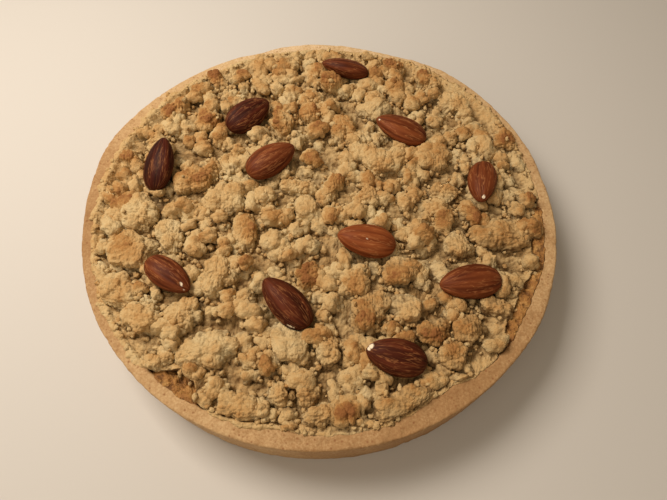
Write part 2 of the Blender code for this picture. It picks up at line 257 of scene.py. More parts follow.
def baked_shortcrust():
    """The weighted sum of three noises and the rim's painted light and shade is looked up along
    the tans. Specks are the middles of scattered cells, but of a share of them only, and the sand is a
    bump."""
    material, tree, shader, place = new_material("baked_shortcrust", 0.8, 0.3)
    cloud = add(tree, "TexNoise", {"Scale": 1 / CRUST_CLOUD, "Detail": 3.0, "Roughness": 0.55}, place)
    mottle = add(tree, "TexNoise", {"Scale": 1 / CRUST_MOTTLE, "Detail": 4.0, "Roughness": 0.65}, place)
    grain = add(tree, "TexNoise", {"Scale": 1 / CRUST_GRAIN, "Detail": 2.0, "Roughness": 0.7}, place)
    weighted = {"operation": "MULTIPLY_ADD"}
    blend = add(tree, "Math", {**weighted, 1: CLOUD_SHARE, 2: TAN_SHIFT}, {0: cloud})
    blend = add(tree, "Math", {**weighted, 1: MOTTLE_SHARE}, {0: mottle, 2: blend})
    blend = add(tree, "Math", {**weighted, 1: GRAIN_SHARE}, {0: grain, 2: blend})
    # The rim's painted light: a painted highlight at the back, painted shade at the front right and at
    # the left
    painted_light = add(tree, "Attribute", {"attribute_name": "painted_light"}).outputs["Fac"]
    blend = add(tree, "Math", {"operation": "ADD"}, {0: blend, 1: painted_light})
    tan = add(tree, "ValToRGB", links={"Fac": blend}, stops=CRUST_TANS)
    speck = add(tree, "TexVoronoi", {"Scale": 1 / CRUST_SPECK, "Randomness": 1.0}, place)
    near = add(
        tree, "MapRange",
        {"From Min": SPECK_CORE, "From Max": SPECK_EDGE, "To Min": 1.0, "To Max": 0.0}, {"Value": speck},
    )
    random_share = {0: speck.outputs["Color"]}
    few = add(tree, "Math", {"operation": "GREATER_THAN", 1: SPECKLESS_SHARE}, random_share)
    shown = add(tree, "Math", {"operation": "MULTIPLY"}, {0: near, 1: few})
    shown = add(tree, "Math", {"operation": "MULTIPLY", 1: SPECK_STRENGTH}, {0: shown})
    brown = {"data_type": "RGBA", "B": linear("#8A5A33")}
    colour = add(tree, "Mix", brown, {"Factor": shown, "A": tan})
    sand = add(tree, "TexNoise", {"Scale": 1 / CRUST_SAND, "Detail": 2.0}, place)
    bump = add(tree, "Bump", {"Strength": 0.5, "Distance": CRUST_SAND_DEPTH}, {"Height": sand})
    link(tree, shader, {"Base Color": colour, "Normal": bump})
    return material


def crumbling(angle):
    """How far the rim's inner edge wanders in or out where the dough crumbled."""
    return layered(on_circle(angle), EDGE_WANDER).reshape(np.shape(angle))


def arc(count, start, end):
    """Angles of a rounded edge in that many steps, from start to end degrees, both included."""
    return [math.radians(start + (end - start) * k / count) for k in range(count + 1)]


def ring_numbers(count):
    """The numbers round a closed ring and, for each of them, the next one."""
    here = np.arange(count)
    return here, (here + 1) % count


def ring_triangles(rings, steps, first=0):
    """Triangles between rings of points, numbered ring after ring from first. They face
    outwards where the rings run anticlockwise and each next ring lies above or further in."""
    here, there = ring_numbers(steps)
    low = first + np.arange(rings - 1)[:, None] * steps
    a, b, c, d = low + here, low + there, low + there + steps, low + here + steps
    return np.vstack([
        np.stack([a, b, c], axis=2).reshape(-1, 3), np.stack([a, c, d], axis=2).reshape(-1, 3),
    ])


def fan(middle, ring, following):
    """Triangles from a middle point to a closed ring: the numbers of the ring's points and of
    those that follow them."""
    return np.stack([np.full(len(ring), middle), ring, following], axis=1)


def case_surface():
    """The case as rings of points: a profile of radius, height and outward lean goes up the
    outer side, over the flat rim and down the inner wall, carried round the outline, and every
    point is moved along its lean by the sandy relief."""
    angle = np.linspace(0, 2 * math.pi, CASE_STEPS, endpoint=False)
    cosine, sine = np.cos(angle), np.sin(angle)
    rim = rim_top(angle)
    outer, inner = outline(angle), inner_edge(angle) + crumbling(angle)
    foot = outer - OUTER_DRAFT
    worn = EDGE_ROUND * (1 + EDGE_WEAR * wavy(on_circle(angle), EDGE_WEAR_SIZE, 5))
    rings = [(foot * share, 0 * angle, -90.0) for share in UNDERSIDE_SHARES]
    for turn in arc(4, -90, 0):
        reach = foot - EDGE_ROUND * (1 - math.cos(turn))
        rings.append((reach, EDGE_ROUND * (1 + math.sin(turn)) + 0 * angle, math.degrees(turn)))
    for share in np.linspace(0, 1, SIDE_RINGS)[1:-1]:
        height = EDGE_ROUND + share * (rim - worn - EDGE_ROUND)
        rings.append((foot + OUTER_DRAFT * share, height, 0.0))
    for turn in arc(5, 0, 90):
        reach = outer - worn * (1 - math.cos(turn))
        rings.append((reach, rim - worn * (1 - math.sin(turn)), math.degrees(turn)))
    for share in np.linspace(0, 1, RIM_RINGS)[1:-1]:
        rings.append(((outer - worn) * (1 - share) + (inner + EDGE_ROUND) * share, rim, 90.0))
    for turn in arc(4, 90, 180):
        reach = inner + EDGE_ROUND * (1 + math.cos(turn))
        rings.append((reach, rim - EDGE_ROUND * (1 - math.sin(turn)), math.degrees(turn)))
    for drop in WALL_DROPS:
        rings.append((inner_wall(angle, RIM_HEIGHT - drop), rim * 0 + RIM_HEIGHT - drop, 180.0))
    radius = np.stack([ring[0] for ring in rings])
    height = np.stack([ring[1] for ring in rings])
    lean = np.radians([ring[2] for ring in rings])[:, None]
    across, up = np.cos(lean), np.sin(lean)
    flat = np.stack([radius * cosine, radius * sine, height], axis=2).reshape(-1, 3)
    dimples = np.maximum(grains(flat, DIMPLE_SIZE, 14) - DIMPLE_START, 0) * DIMPLE_DEPTH
    relief = (layered(flat, CRUST_RELIEF) - dimples).reshape(radius.shape)
    radius = radius + relief * across
    height = np.maximum(height + relief * up * (up > 0), 0)
    points = np.stack([radius * cosine, radius * sine, height], axis=2).reshape(-1, 3)
    here, there = ring_numbers(CASE_STEPS)
    last = (len(rings) - 1) * CASE_STEPS
    triangles = np.vstack([
        ring_triangles(len(rings), CASE_STEPS),
        fan(len(points), there, here),
        fan(len(points) + 1, last + here, last + there),
    ])
    points = np.vstack([points, (0, 0, 0), (0, 0, FLOOR)])
    # The rim's painted light and shade, the same down the side, and none at the two middle points
    painted_light = np.append(np.tile(swell(angle, RIM_PAINTED_LIGHT), len(rings)), (0, 0))
    return points, triangles, {"painted_light": painted_light}


case = make_piece("shortcrust_case", case_surface(), baked_shortcrust())
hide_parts("pastry_case")

# The filling
# Almond cream with pear, poured into the case and browned where the crumble left it bare. There
# it has puffed up against the wall, with a dry, porous skin.
FILLING_TOP = 20.5 * MM
FILLING_PUFF = 4.6 * MM
FILLING_SLOPE = 10 * MM
# Where the crumble leaves it bare: middle and half width in degrees, and how far in
BARE_PATCHES = (
    (-123, 5, 9 * MM), (-37, 6, 4 * MM), (-27, 6, 4.5 * MM), (-14, 6, 5 * MM), (-4, 4, 4 * MM),
)
PATCH_DEPTH = 9 * MM
# Depths of the relief's coarse, middle and fine grains, and how far the skin sinks for them
FILLING_RELIEF, FILLING_SINK = (1.3 * MM, 1.1 * MM, 0.8 * MM), 1.2 * MM
FILLING_STEPS = 1200
# The crust of grains, here and in the crumble: three sizes of grain, their shares in the crest
# and what counts as a full one, and the size and reach of the waves that push the grains about
GRAIN_SIZES = (3.6 * MM, 1.9 * MM, 1.1 * MM)
CREST_SHARES = (0.35, 0.45, 0.35)
FULL_CREST = 0.7
PUSH_SIZE, PUSH_REACH = 5 * MM, 1.6 * MM


def round_net(count):
    """A square grid of count by count points pressed into a disc of radius 1 by the concentric
    map, which keeps the points evenly spread: x, y, the triangles that face up, and the points
    of the edge in order. count is even, so that no point falls on the middle."""
    line = np.linspace(-1, 1, count)
    u, v = np.meshgrid(line, line, indexing="ij")
    wide = np.abs(u) > np.abs(v)
    radius = np.where(wide, u, v)
    angle = np.where(wide, math.pi / 4 * v / u, math.pi / 2 - math.pi / 4 * u / v)
    number = np.arange(count * count).reshape(count, count)
    corners = [number[:-1, :-1], number[1:, :-1], number[1:, 1:], number[:-1, 1:]]
    a, b, c, d = (corner.ravel() for corner in corners)
    triangles = np.vstack([np.stack([a, b, c], axis=1), np.stack([a, c, d], axis=1)])
    edge = np.concatenate([number[:-1, 0], number[-1, :-1], number[:0:-1, -1], number[0, :0:-1]])
    return (radius * np.cos(angle)).ravel(), (radius * np.sin(angle)).ravel(), triangles, edge


def slab(top, triangles, edge, lower):
    """Closes a top surface into a body: skirts go down from its edge to each lower ring of
    points in turn, and a fan closes the last one."""
    here, there = ring_numbers(len(edge))
    points = np.vstack([top, *lower, (0, 0, lower[-1][0, 2])])
    sides, ring = [triangles], edge
    for k in range(len(lower)):
        below = len(top) + k * len(edge) + here
        sides.append(np.stack([ring[here], below, below[there]], axis=1))
        sides.append(np.stack([ring[here], below[there], ring[there]], axis=1))
        ring = below
    sides.append(fan(len(points) - 1, ring[there], ring[here]))
    return points, np.vstack(sides)


def warped(places, size, amount, salt):
    """The places pushed about smoothly, so that a pattern read there isn't regular."""
    pushes = [wavy(places, size, salt + axis) for axis in (0, 1, 2)]
    return places + amount * np.stack(pushes, axis=1)


def crumb_relief(places, salt, depths):
    """Height and crest share of a crust of fused grains at three sizes, coarse to fine, each
    with its own depth."""
    loose = warped(places, PUSH_SIZE, PUSH_REACH, salt)
    spots = (loose, loose, places)
    reliefs = [grains(spots[k], GRAIN_SIZES[k], salt + 10 * (k + 1)) for k in range(3)]
    height = sum(depth * relief for depth, relief in zip(depths, reliefs))
    crest = sum(share * relief for share, relief in zip(CREST_SHARES, reliefs)) / FULL_CREST
    return height, np.clip(crest, 0, 1)


def filling_surface():
    """The filling's top rises towards the wall in the bare patches, by a smooth step over the
    slope's width, with a porous relief. Its rings lie close together near the wall."""
    angle = np.linspace(0, 2 * math.pi, FILLING_STEPS, endpoint=False)
    wall = inner_wall(angle, RIM_HEIGHT) + crumbling(angle) + 0.5 * MM
    from_wall = np.concatenate([np.arange(0, 13, 0.42), np.linspace(14, 90, 9)])[:, None] * MM
    radius = np.maximum(wall - from_wall, 1 * MM)
    bare = np.clip(swell(angle, BARE_PATCHES) / (3 * MM), 0, 1)
    climb = np.clip(1 - from_wall / FILLING_SLOPE, 0, 1)
    climb = climb * climb * (3 - 2 * climb)
    height = FILLING_TOP + FILLING_PUFF * bare * climb
    top = np.stack([radius * np.cos(angle), radius * np.sin(angle), height], axis=2).reshape(-1, 3)
    relief, crest = crumb_relief(top, 20, FILLING_RELIEF)
    near = np.broadcast_to(np.clip(from_wall / (1.5 * MM), 0.15, 1), radius.shape).ravel()
    top[:, 2] += (relief - FILLING_SINK) * near
    here, there = ring_numbers(FILLING_STEPS)
    last = (len(from_wall) - 1) * FILLING_STEPS
    bottom = (0, 0, FLOOR + 0.3 * MM)
    low = top[:FILLING_STEPS] * (0.96, 0.96, 0) + bottom
    points = np.vstack([top, (0, 0, FILLING_TOP), low, bottom])
    middle, foot = len(top), len(top) + 1
    triangles = np.vstack([
        ring_triangles(len(from_wall), FILLING_STEPS),
        fan(middle, last + here, last + there),
        np.stack([foot + here, foot + there, there], axis=1),
        np.stack([foot + here, there, here], axis=1),
        fan(len(points) - 1, foot + there, foot + here),
    ])
    return points, triangles, {"crest": np.append(crest, np.zeros(len(points) - len(crest)))}


def with_painted_shade(tree, colour, crest, low, high, most, dark):
    """A colour with a painted shade in the hollows: mixed with a dark one by most where the crest
    share is low, and not at all where it is high."""
    shade_share = add(
        tree, "MapRange", {"From Min": low, "From Max": high, "To Min": most, "To Max": 0.0},
        {"Value": crest},
    )
    shade = {"data_type": "RGBA", "B": linear(dark)}
    return add(tree, "Mix", shade, {"Factor": shade_share, "A": colour})


def sandy(tree, place, layers):
    """Bumps of packed grains, one layer on another, by size and depth: domes about scattered
    points."""
    below = {}
    for size, depth in layers:
        grain = add(tree, "TexVoronoi", {"Scale": 1 / size, "Randomness": 1.0}, place)
        raised = add(tree, "Math", {"operation": "SUBTRACT", 0: 1.0}, {1: grain})
        bump = add(tree, "Bump", {"Strength": 0.8, "Distance": depth}, {"Height": raised, **below})
        below = {"Normal": bump}
    return bump


# Browned almond cream: egg, butter and ground almond, dry and matte where it baked uncovered. It
# is caramel brown with paler patches 5 mm wide, and its pores have a painted shade of very dark brown.
CREAM_PATCH = 5 * MM
CREAM_BROWNS = ((0.34, "#8A5A26"), (0.5, "#A87538"), (0.66, "#C09454"))
CREAM_SAND = ((1.3 * MM, 0.6 * MM), (0.55 * MM, 0.3 * MM))


def browned_cream():
    """Noise looked up along the browns, with a painted shade in the pores, and two layers of grain."""
    material, tree, shader, place = new_material("browned_almond_cream", 0.75)
    patch = add(tree, "TexNoise", {"Scale": 1 / CREAM_PATCH, "Detail": 5.0, "Roughness": 0.7}, place)
    browned = add(tree, "ValToRGB", links={"Fac": patch}, stops=CREAM_BROWNS)
    crest = add(tree, "Attribute", {"attribute_name": "crest"}).outputs["Fac"]
    # Painted shade: where the crest share is low, in the pores, the brown is mixed towards a very dark
    # brown
    colour = with_painted_shade(tree, browned, crest, 0.2, 0.6, 0.8, "#5A3406")
    link(tree, shader, {"Base Color": colour, "Normal": sandy(tree, place, CREAM_SAND)})
    return material


filling = make_piece("almond_cream_filling", filling_surface(), browned_cream())
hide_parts("filling")

# The bed of the crumble
# The fine part of the rubbed-in butter, flour and sugar, which has settled between the clumps
# and baked into one crust of grains 1 to 4 mm across.
CORE_BOTTOM = FILLING_TOP + 0.3 * MM
CORE_EDGE_TOP = 23.2 * MM
CORE_DOME = 1.5 * MM
BED_SINK = 2 * MM
BED_NET = 306
BED_RELIEF = (1.7 * MM, 1.0 * MM, 0.5 * MM)
BED_WAVE, BED_WAVE_SIZE = 0.5 * MM, 9 * MM
BED_RAISE, BED_RAISE_WIDTH = 2.8 * MM, 6 * MM
# Stretches of the rim that the fine crumble laps on to: middle and half width in degrees, reach.
# Waves make the reach ragged, by shares of it
LAP_STRETCHES = (
    (40, 15, 2.8 * MM), (62, 8, 2 * MM), (112, 9, 1.2 * MM), (143, 16, 2.2 * MM),
    (172, 13, 2.2 * MM), (-152, 20, 1.6 * MM), (-134, 7, 1.2 * MM), (-106, 8, 1.3 * MM),
)
LAP_RAGGED = ((0.5, 5 * MM, 47), (0.4, 1.9 * MM, 48))
LEAST_LAP = 0.45 * MM
LAP_THINS = 1.6 * MM


def core_top(x, y):
    """Height of the crumble's bare core: a low dome."""
    share = (x * x + y * y) / OUTER_RADIUS ** 2
    return CORE_EDGE_TOP + CORE_DOME * (1 - share)


def lap(angle):
    """How far the fine crumble laps on to the rim: stretches of the rim, ragged by waves, and
    none where the filling is bare."""
    ragged = 0.85 + layered(on_circle(angle), LAP_RAGGED).reshape(np.shape(angle))
    bare = np.clip(1 - swell(angle, BARE_PATCHES) / (2 * MM), 0, 1)
    return (LEAST_LAP + swell(angle, LAP_STRETCHES) * ragged) * bare


def bed_surface():
    """The bed follows the low dome under the clumps, lifted by the crumb relief. Its edge laps
    over the rim as a crust that thins towards its own edge, and whose skirt turns back in under
    the rim's top."""
    x, y, triangles, edge = round_net(BED_NET)
    angle, share = np.arctan2(y, x), np.hypot(x, y)
    bare = np.minimum(swell(angle, BARE_PATCHES), PATCH_DEPTH)
    wall = inner_edge(angle) + crumbling(angle) + lap(angle) - bare
    radius = wall * share
    x, y = radius * np.cos(angle), radius * np.sin(angle)
    flat = np.stack([x, y, core_top(x, y) - BED_SINK], axis=1)
    height, crest = crumb_relief(flat, 40, BED_RELIEF)
    near_wall = np.clip(1 - (wall - radius) / BED_RAISE_WIDTH, 0, 1)
    flat[:, 2] += height + BED_WAVE * wavy(flat, BED_WAVE_SIZE, 45) + BED_RAISE * near_wall
    on_rim = radius > inner_edge(angle) - 0.6 * MM
    lapping = np.clip(lap(angle) / (1 * MM) - 0.45, 0, 1)
    thinned = np.clip(0.3 + (wall - radius) / LAP_THINS, 0, 1)
    crust = rim_top(angle) - 0.2 * MM + lapping * thinned * (0.4 * MM + 0.5 * height)
    flat[:, 2] = np.where(on_rim, np.clip(flat[:, 2], crust, crust + 0.3 * MM), flat[:, 2])
    pale = lapping * np.clip(1 - (inner_edge(angle) - radius) / (4 * MM), 0, 1)
    brim = flat[edge].copy()
    brim[:, 2] = np.minimum(brim[:, 2] - 0.1 * MM, rim_top(angle[edge]) - 0.3 * MM)
    foot = brim.copy()
    inside = (inner_wall(angle[edge], CORE_BOTTOM) - 0.2 * MM) / radius[edge]
    foot[:, :2] *= np.minimum(inside, 1)[:, None]
    foot[:, 2] = CORE_BOTTOM
    points, triangles = slab(flat, triangles, edge, [brim, foot])
    extra = np.zeros(len(points) - len(flat))
    shades = {
        "toast": np.concatenate([0.25 + 0.2 * wavy(flat, 14 * MM, 46) - 0.1 * pale, extra]),
        # The bed's crest share is halved away from the wall, so the bed in the gaps gets a painted shade;
        # the lapping crust gets little
        "crest": np.concatenate([crest * (0.5 + 0.4 * near_wall) + 0.3 * pale, extra]),
    }
    return points, triangles, shades


# Baked crumble: matte, dry and sandy. It is pale straw yellow where shaded from the oven's heat,
# golden on the rises and orange brown on the crests of the clumps that stood highest.
CRUMBLE_CLOUD = 6 * MM
CRUMBLE_SPOT = 1.3 * MM
CRUMBLE_SAND = ((1.5 * MM, 0.45 * MM), (0.6 * MM, 0.2 * MM))
CRUMBLE_GOLDS = (
    (0.0, "#CFBA8D"), (0.3, "#CAAD7B"), (0.55, "#BF9A65"), (0.78, "#AC7E48"), (1.0, "#8C5B31"),
)
# Shares of the cloud, the spots and the crest in the heat, and its values at the golds' ends
HEAT_SHARES = (0.7, 0.6, 0.35)
COOLEST, HOTTEST = 0.58, 1.82


def baked_crumble():
    """The weighted sum of browning, two noises and the crest share is looked up along the
    golds, with a painted shade in the hollows, and two layers of grain."""
    material, tree, shader, place = new_material("baked_crumble", 0.85, 0.2)
    # The toast attribute is the browning, and at the front right it also holds a painted shade
    heat = add(tree, "Attribute", {"attribute_name": "toast"}).outputs["Fac"]
    crest = add(tree, "Attribute", {"attribute_name": "crest"}).outputs["Fac"]
    cloud = add(tree, "TexNoise", {"Scale": 1 / CRUMBLE_CLOUD, "Detail": 4.0, "Roughness": 0.6}, place)
    spot = add(tree, "TexNoise", {"Scale": 1 / CRUMBLE_SPOT, "Detail": 3.0, "Roughness": 0.7}, place)
    for share, source in zip(HEAT_SHARES, (cloud, spot, crest)):
        heat = add(tree, "Math", {"operation": "MULTIPLY_ADD", 1: share}, {0: source, 2: heat})
    level = add(tree, "MapRange", {"From Min": COOLEST, "From Max": HOTTEST}, {"Value": heat})
    gold = add(tree, "ValToRGB", links={"Fac": level}, stops=CRUMBLE_GOLDS)
    # Painted shade in the hollows between grains and low on the pieces: olive brown where the crest share
    # is low
    colour = with_painted_shade(tree, gold, crest, 0.05, 0.5, 0.85, "#573200")
    link(tree, shader, {"Base Color": colour, "Normal": sandy(tree, place, CRUMBLE_SAND)})
    return material


crumble_finish = baked_crumble()
bed = make_piece("crumble_bed", bed_surface(), crumble_finish)
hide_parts("crumble")

# The almonds
# Whole roasted almonds with their skins on, pushed into the crumble before baking. Each is a
# flattened drop, blunt at one end and pointed at the other, with fine ridges from end to end.
ALMOND_THICKNESS = 0.37
# Rows: place in millimetres, heading of the tip, its tilt and roll in degrees, length, and
# width as a share of the length
ALMONDS = (
    (12, 77.3, 167, 6, 30, 23.5, 0.51), (-33.5, 46.8, 40, 5, 17, 23.5, 0.61),
    (-70.2, 17.8, 86, 12, -21, 25.5, 0.55), (-21.5, 20.3, 37, 3, 6, 24.5, 0.60),
    (37, 37.3, 157, 9, 8, 24.5, 0.58), (70.2, 8.5, -100, 3, 16, 22, 0.56),
    (19.2, -20.9, 170, 7, -8, 24, 0.57), (58.8, -39, -173, 1, -8, 24.5, 0.57),
    (-58.8, -35.3, -36, 1, 0, 22.8, 0.52), (-12, -47.5, 134, 8, 5, 25, 0.54),
    (28.4, -68.4, 168, 7, -14, 22.6, 0.60),
)
# Powers of the way from each end that shape the outline, and the greatest that they come to
ROUND_END, TIP_END, GREATEST = 0.46, 0.62, 0.4787
ALMOND_RINGS, ALMOND_SIDES = 64, 140
CAD_RINGS, CAD_SIDES = 8, 12
# How much the skin leans towards the ends where it is pushed outwards
END_LEAN = 0.15
RIDGE_DEPTH = 0.17 * MM
WRINKLE_DEPTH, WRINKLE_SIZE = 0.05 * MM, 1.3 * MM
CHIP_DEPTH, CHIP_EDGE, CHIP_WANDER = 0.22 * MM, 0.18 * MM, 0.35 * MM
# How far apart the almonds' own skin patterns lie
SKIN_STEP = 7
# How dark each almond is roasted, and the pale chips in its skin as share of the length, turn
# round it in degrees and radius in millimetres
ALMOND_ROAST = (0.7, 0.95, 1.0, 0.5, 0.4, 0.5, 0.08, 0.45, 0.6, 0.87, 0.9)
ALMOND_CHIPS = (
    (), (), (), (), ((0.93, 62, 0.6),), ((0.93, 65, 0.75),), ((0.52, 82, 0.2),), (),
    ((0.86, 95, 0.7), (0.95, 130, 0.5)), ((0.13, 12, 0.4), (0.17, 12, 0.5), (0.21, 10, 0.4)),
    ((0.94, 130, 1.1), (0.97, 110, 0.9)),
)


def almond_share(along):
    """Half width of an almond along its length, 0 at the round end and 1 at the tip, as a
    share of its greatest: a blunt round end and a longer, narrower one."""
    along = np.clip(along, 0, 1)
    return along ** ROUND_END * (1 - along) ** TIP_END / GREATEST


def almond_points(length, width, rings, sides):
    """Rings of points of a plain almond on its own axes with the tip at +X, round end first."""
    ring = np.arange(1, rings + 1)
    along = (1 - np.cos(math.pi * ring / (rings + 1))) / 2
    side = 2 * math.pi * np.arange(sides) / sides
    half = almond_share(along)[:, None] * length / 2
    x = np.broadcast_to((along[:, None] - 0.5) * length, (rings, sides))
    net = np.stack([
        x, half * width * np.cos(side), half * ALMOND_THICKNESS * np.sin(side),
    ], axis=2).reshape(-1, 3)
    return np.vstack([(-length / 2, 0, 0), net, (length / 2, 0, 0)]), along, side


def almond_matrix(row):
    """Where an almond lies: turned, tilted and rolled, then lowered to the bare core."""
    x, y, heading, tilt, roll, length, width = row
    turn = Matrix.Rotation(math.radians(heading), 3, "Z")
    lean = Matrix.Rotation(-math.radians(tilt), 3, "Y")
    spin = Matrix.Rotation(math.radians(roll), 3, "X")
    turned = np.array(turn @ lean @ spin)
    places = almond_points(length * MM, width, CAD_RINGS, CAD_SIDES)[0] @ turned.T + (x * MM, y * MM, 0)
    lift = 0.3 * MM - (places[:, 2] - core_top(places[:, 0], places[:, 1])).min()
    return turned, np.array((x * MM, y * MM, lift))


def almond_surface(number, row, turned, place):
    """A plain almond whose skin has lengthwise ridges: waves that are long along it and short
    round it, faded at both ends, and a small dent where the skin is chipped. Each point keeps
    its place along and round the almond for the skin's fibres."""
    length, width = row[5] * MM, row[6]
    points, along, side = almond_points(length, width, ALMOND_RINGS, ALMOND_SIDES)
    net = points[1:-1]
    outward = net * (END_LEAN, 1, 1 / ALMOND_THICKNESS)
    outward /= np.linalg.norm(outward, axis=1)[:, None]
    u = np.repeat(along, ALMOND_SIDES)
    v = np.tile(side, ALMOND_RINGS)
    spot = np.stack([u + SKIN_STEP * number, np.cos(v), np.sin(v)], axis=1)
    fade = np.clip(np.minimum(u / 0.06, (1 - u) / 0.05), 0, 1)
    ridge = 0.7 * wavy(spot * (2, 3.6, 3.6), 1.0, 60) + 0.7 * wavy(spot * (3, 6.5, 6.5), 1.0, 80)
    dent = np.zeros(len(net))
    for share, turn, radius in ALMOND_CHIPS[number]:
        half = almond_share(share) * length / 2
        sideways = half * width * math.cos(math.radians(turn))
        upwards = half * ALMOND_THICKNESS * math.sin(math.radians(turn))
        middle = np.array(((share - 0.5) * length, sideways, upwards))
        ragged = np.linalg.norm(net - middle, axis=1) + CHIP_WANDER * wavy(net, 0.8 * MM, 90 + number)
        dent = np.maximum(dent, np.clip((radius * MM - ragged) / CHIP_EDGE, 0, 1))
    wrinkle = WRINKLE_DEPTH * wavy(net, WRINKLE_SIZE, 70 + number)
    moved = RIDGE_DEPTH * ridge * fade + wrinkle - CHIP_DEPTH * dent
    points[1:-1] = net + outward * moved[:, None]
    here, there = ring_numbers(ALMOND_SIDES)
    last = 1 + (ALMOND_RINGS - 1) * ALMOND_SIDES
    triangles = np.vstack([
        fan(0, 1 + there, 1 + here),
        ring_triangles(ALMOND_RINGS, ALMOND_SIDES, 1),
        fan(len(points) - 1, last + here, last + there),
    ])
    start = SKIN_STEP * number
    shades = {
        # The ridge shade is low in the grooves, which take a painted shade
        "ridge": np.pad(np.clip(0.5 + 0.6 * ridge * fade, 0, 1), 1),
        "chip": np.pad(dent, 1),
        "roast": np.full(len(points), ALMOND_ROAST[number]),
        "fibre": np.vstack([(start, 0, 0), spot, (start + 1, 0, 0)]),
    }
    return points @ turned.T + place, triangles, shades


# Almond skin: roasted, dry and papery, with a slight gloss from its oil. It is chestnut red, with
# painted shade darkening the grooves between the ridges, thin, broken, paler fibres from end to
# end, and the flesh under a chip is cream white.
ALMOND_REDS = ((0.1, "#682F14"), (0.5, "#81411F"), (0.9, "#97532B"))
ALMOND_DARKS = ((0.1, "#2C1009"), (0.5, "#3D170D"), (0.9, "#502112"))
FIBRE_STRETCH = (3.0, 5.2, 5.2)
FIBRE_WIDTH = 0.045
PAPER_GRAIN, PAPER_DEPTH = 0.5 * MM, 0.08 * MM


def roasted_almond_skin():
    """Two ramps along the ridges, red and dark, mixed by the roast; their low ends paint shade in the
    grooves. Fibres are the lines where a noise along the almond is at its middle value, weaker on
    dark skins and broken by patches."""
    material, tree, shader, place = new_material("roasted_almond_skin", 0.5, 0.08)
    ridge, chip, roast = (
        add(tree, "Attribute", {"attribute_name": shade}).outputs["Fac"]
        for shade in ("ridge", "chip", "roast")
    )
    fibre = add(tree, "Attribute", {"attribute_name": "fibre"}).outputs["Vector"]
    red = add(tree, "ValToRGB", links={"Fac": ridge}, stops=ALMOND_REDS)
    dark = add(tree, "ValToRGB", links={"Fac": ridge}, stops=ALMOND_DARKS)
    skin = add(tree, "Mix", {"data_type": "RGBA"}, {"Factor": roast, "A": red, "B": dark})
    lengthwise = add(tree, "VectorMath", {"operation": "MULTIPLY", 1: FIBRE_STRETCH}, {0: fibre})
    strand = {"Scale": 1.0, "Detail": 2.0, "Roughness": 0.6}
    strand = add(tree, "TexNoise", strand, {"Vector": lengthwise})
    off_line = add(tree, "Math", {"operation": "SUBTRACT", 1: 0.5}, {0: strand})
    off_line = add(tree, "Math", {"operation": "ABSOLUTE"}, {0: off_line})
    strength = add(tree, "Math", {"operation": "MULTIPLY_ADD", 1: -0.3, 2: 0.8}, {0: roast})
    line = add(
        tree, "MapRange", {"From Min": 0.0, "From Max": FIBRE_WIDTH, "To Max": 0.0},
        {"Value": off_line, "To Min": strength},
    )
    patchy = add(tree, "TexNoise", {"Scale": 2.6, "Detail": 1.0}, {"Vector": fibre})
    patchy = add(tree, "MapRange", {"From Min": 0.35, "From Max": 0.65}, {"Value": patchy})
    vein = add(tree, "Math", {"operation": "MULTIPLY"}, {0: line, 1: patchy})
    pale, cream = ({"data_type": "RGBA", "B": linear(colour)} for colour in ("#B87A4A", "#F3E3C6"))
    veined = add(tree, "Mix", pale, {"Factor": vein, "A": skin})
    colour = add(tree, "Mix", cream, {"Factor": chip, "A": veined})
    paper = add(tree, "TexNoise", {"Scale": 1 / PAPER_GRAIN}, place)
    raised = add(tree, "Math", {"operation": "ADD"}, {0: paper, 1: vein})
    bump = add(tree, "Bump", {"Strength": 0.5, "Distance": PAPER_DEPTH}, {"Height": raised})
    link(tree, shader, {"Base Color": colour, "Normal": bump})
    return material


almond_skin = roasted_almond_skin()
almonds = []
for number, row in enumerate(ALMONDS):
    turned, place = almond_matrix(row)
    almonds.append((turned, place, row[5] * MM, row[6]))
    surface = almond_surface(number, row, turned, place)
    almond = make_piece(f"roasted_almond_{number + 1:02d}", surface, almond_skin)
    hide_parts(f"almond_{number + 1:02d}")

# The clumps of crumble
# Butter, flour and sugar rubbed together by hand and strewn on: grains that have stuck into
# knobbly clumps up to 26 mm long. The high ones browned first.
CLUMP_RISE = 8.2 * MM
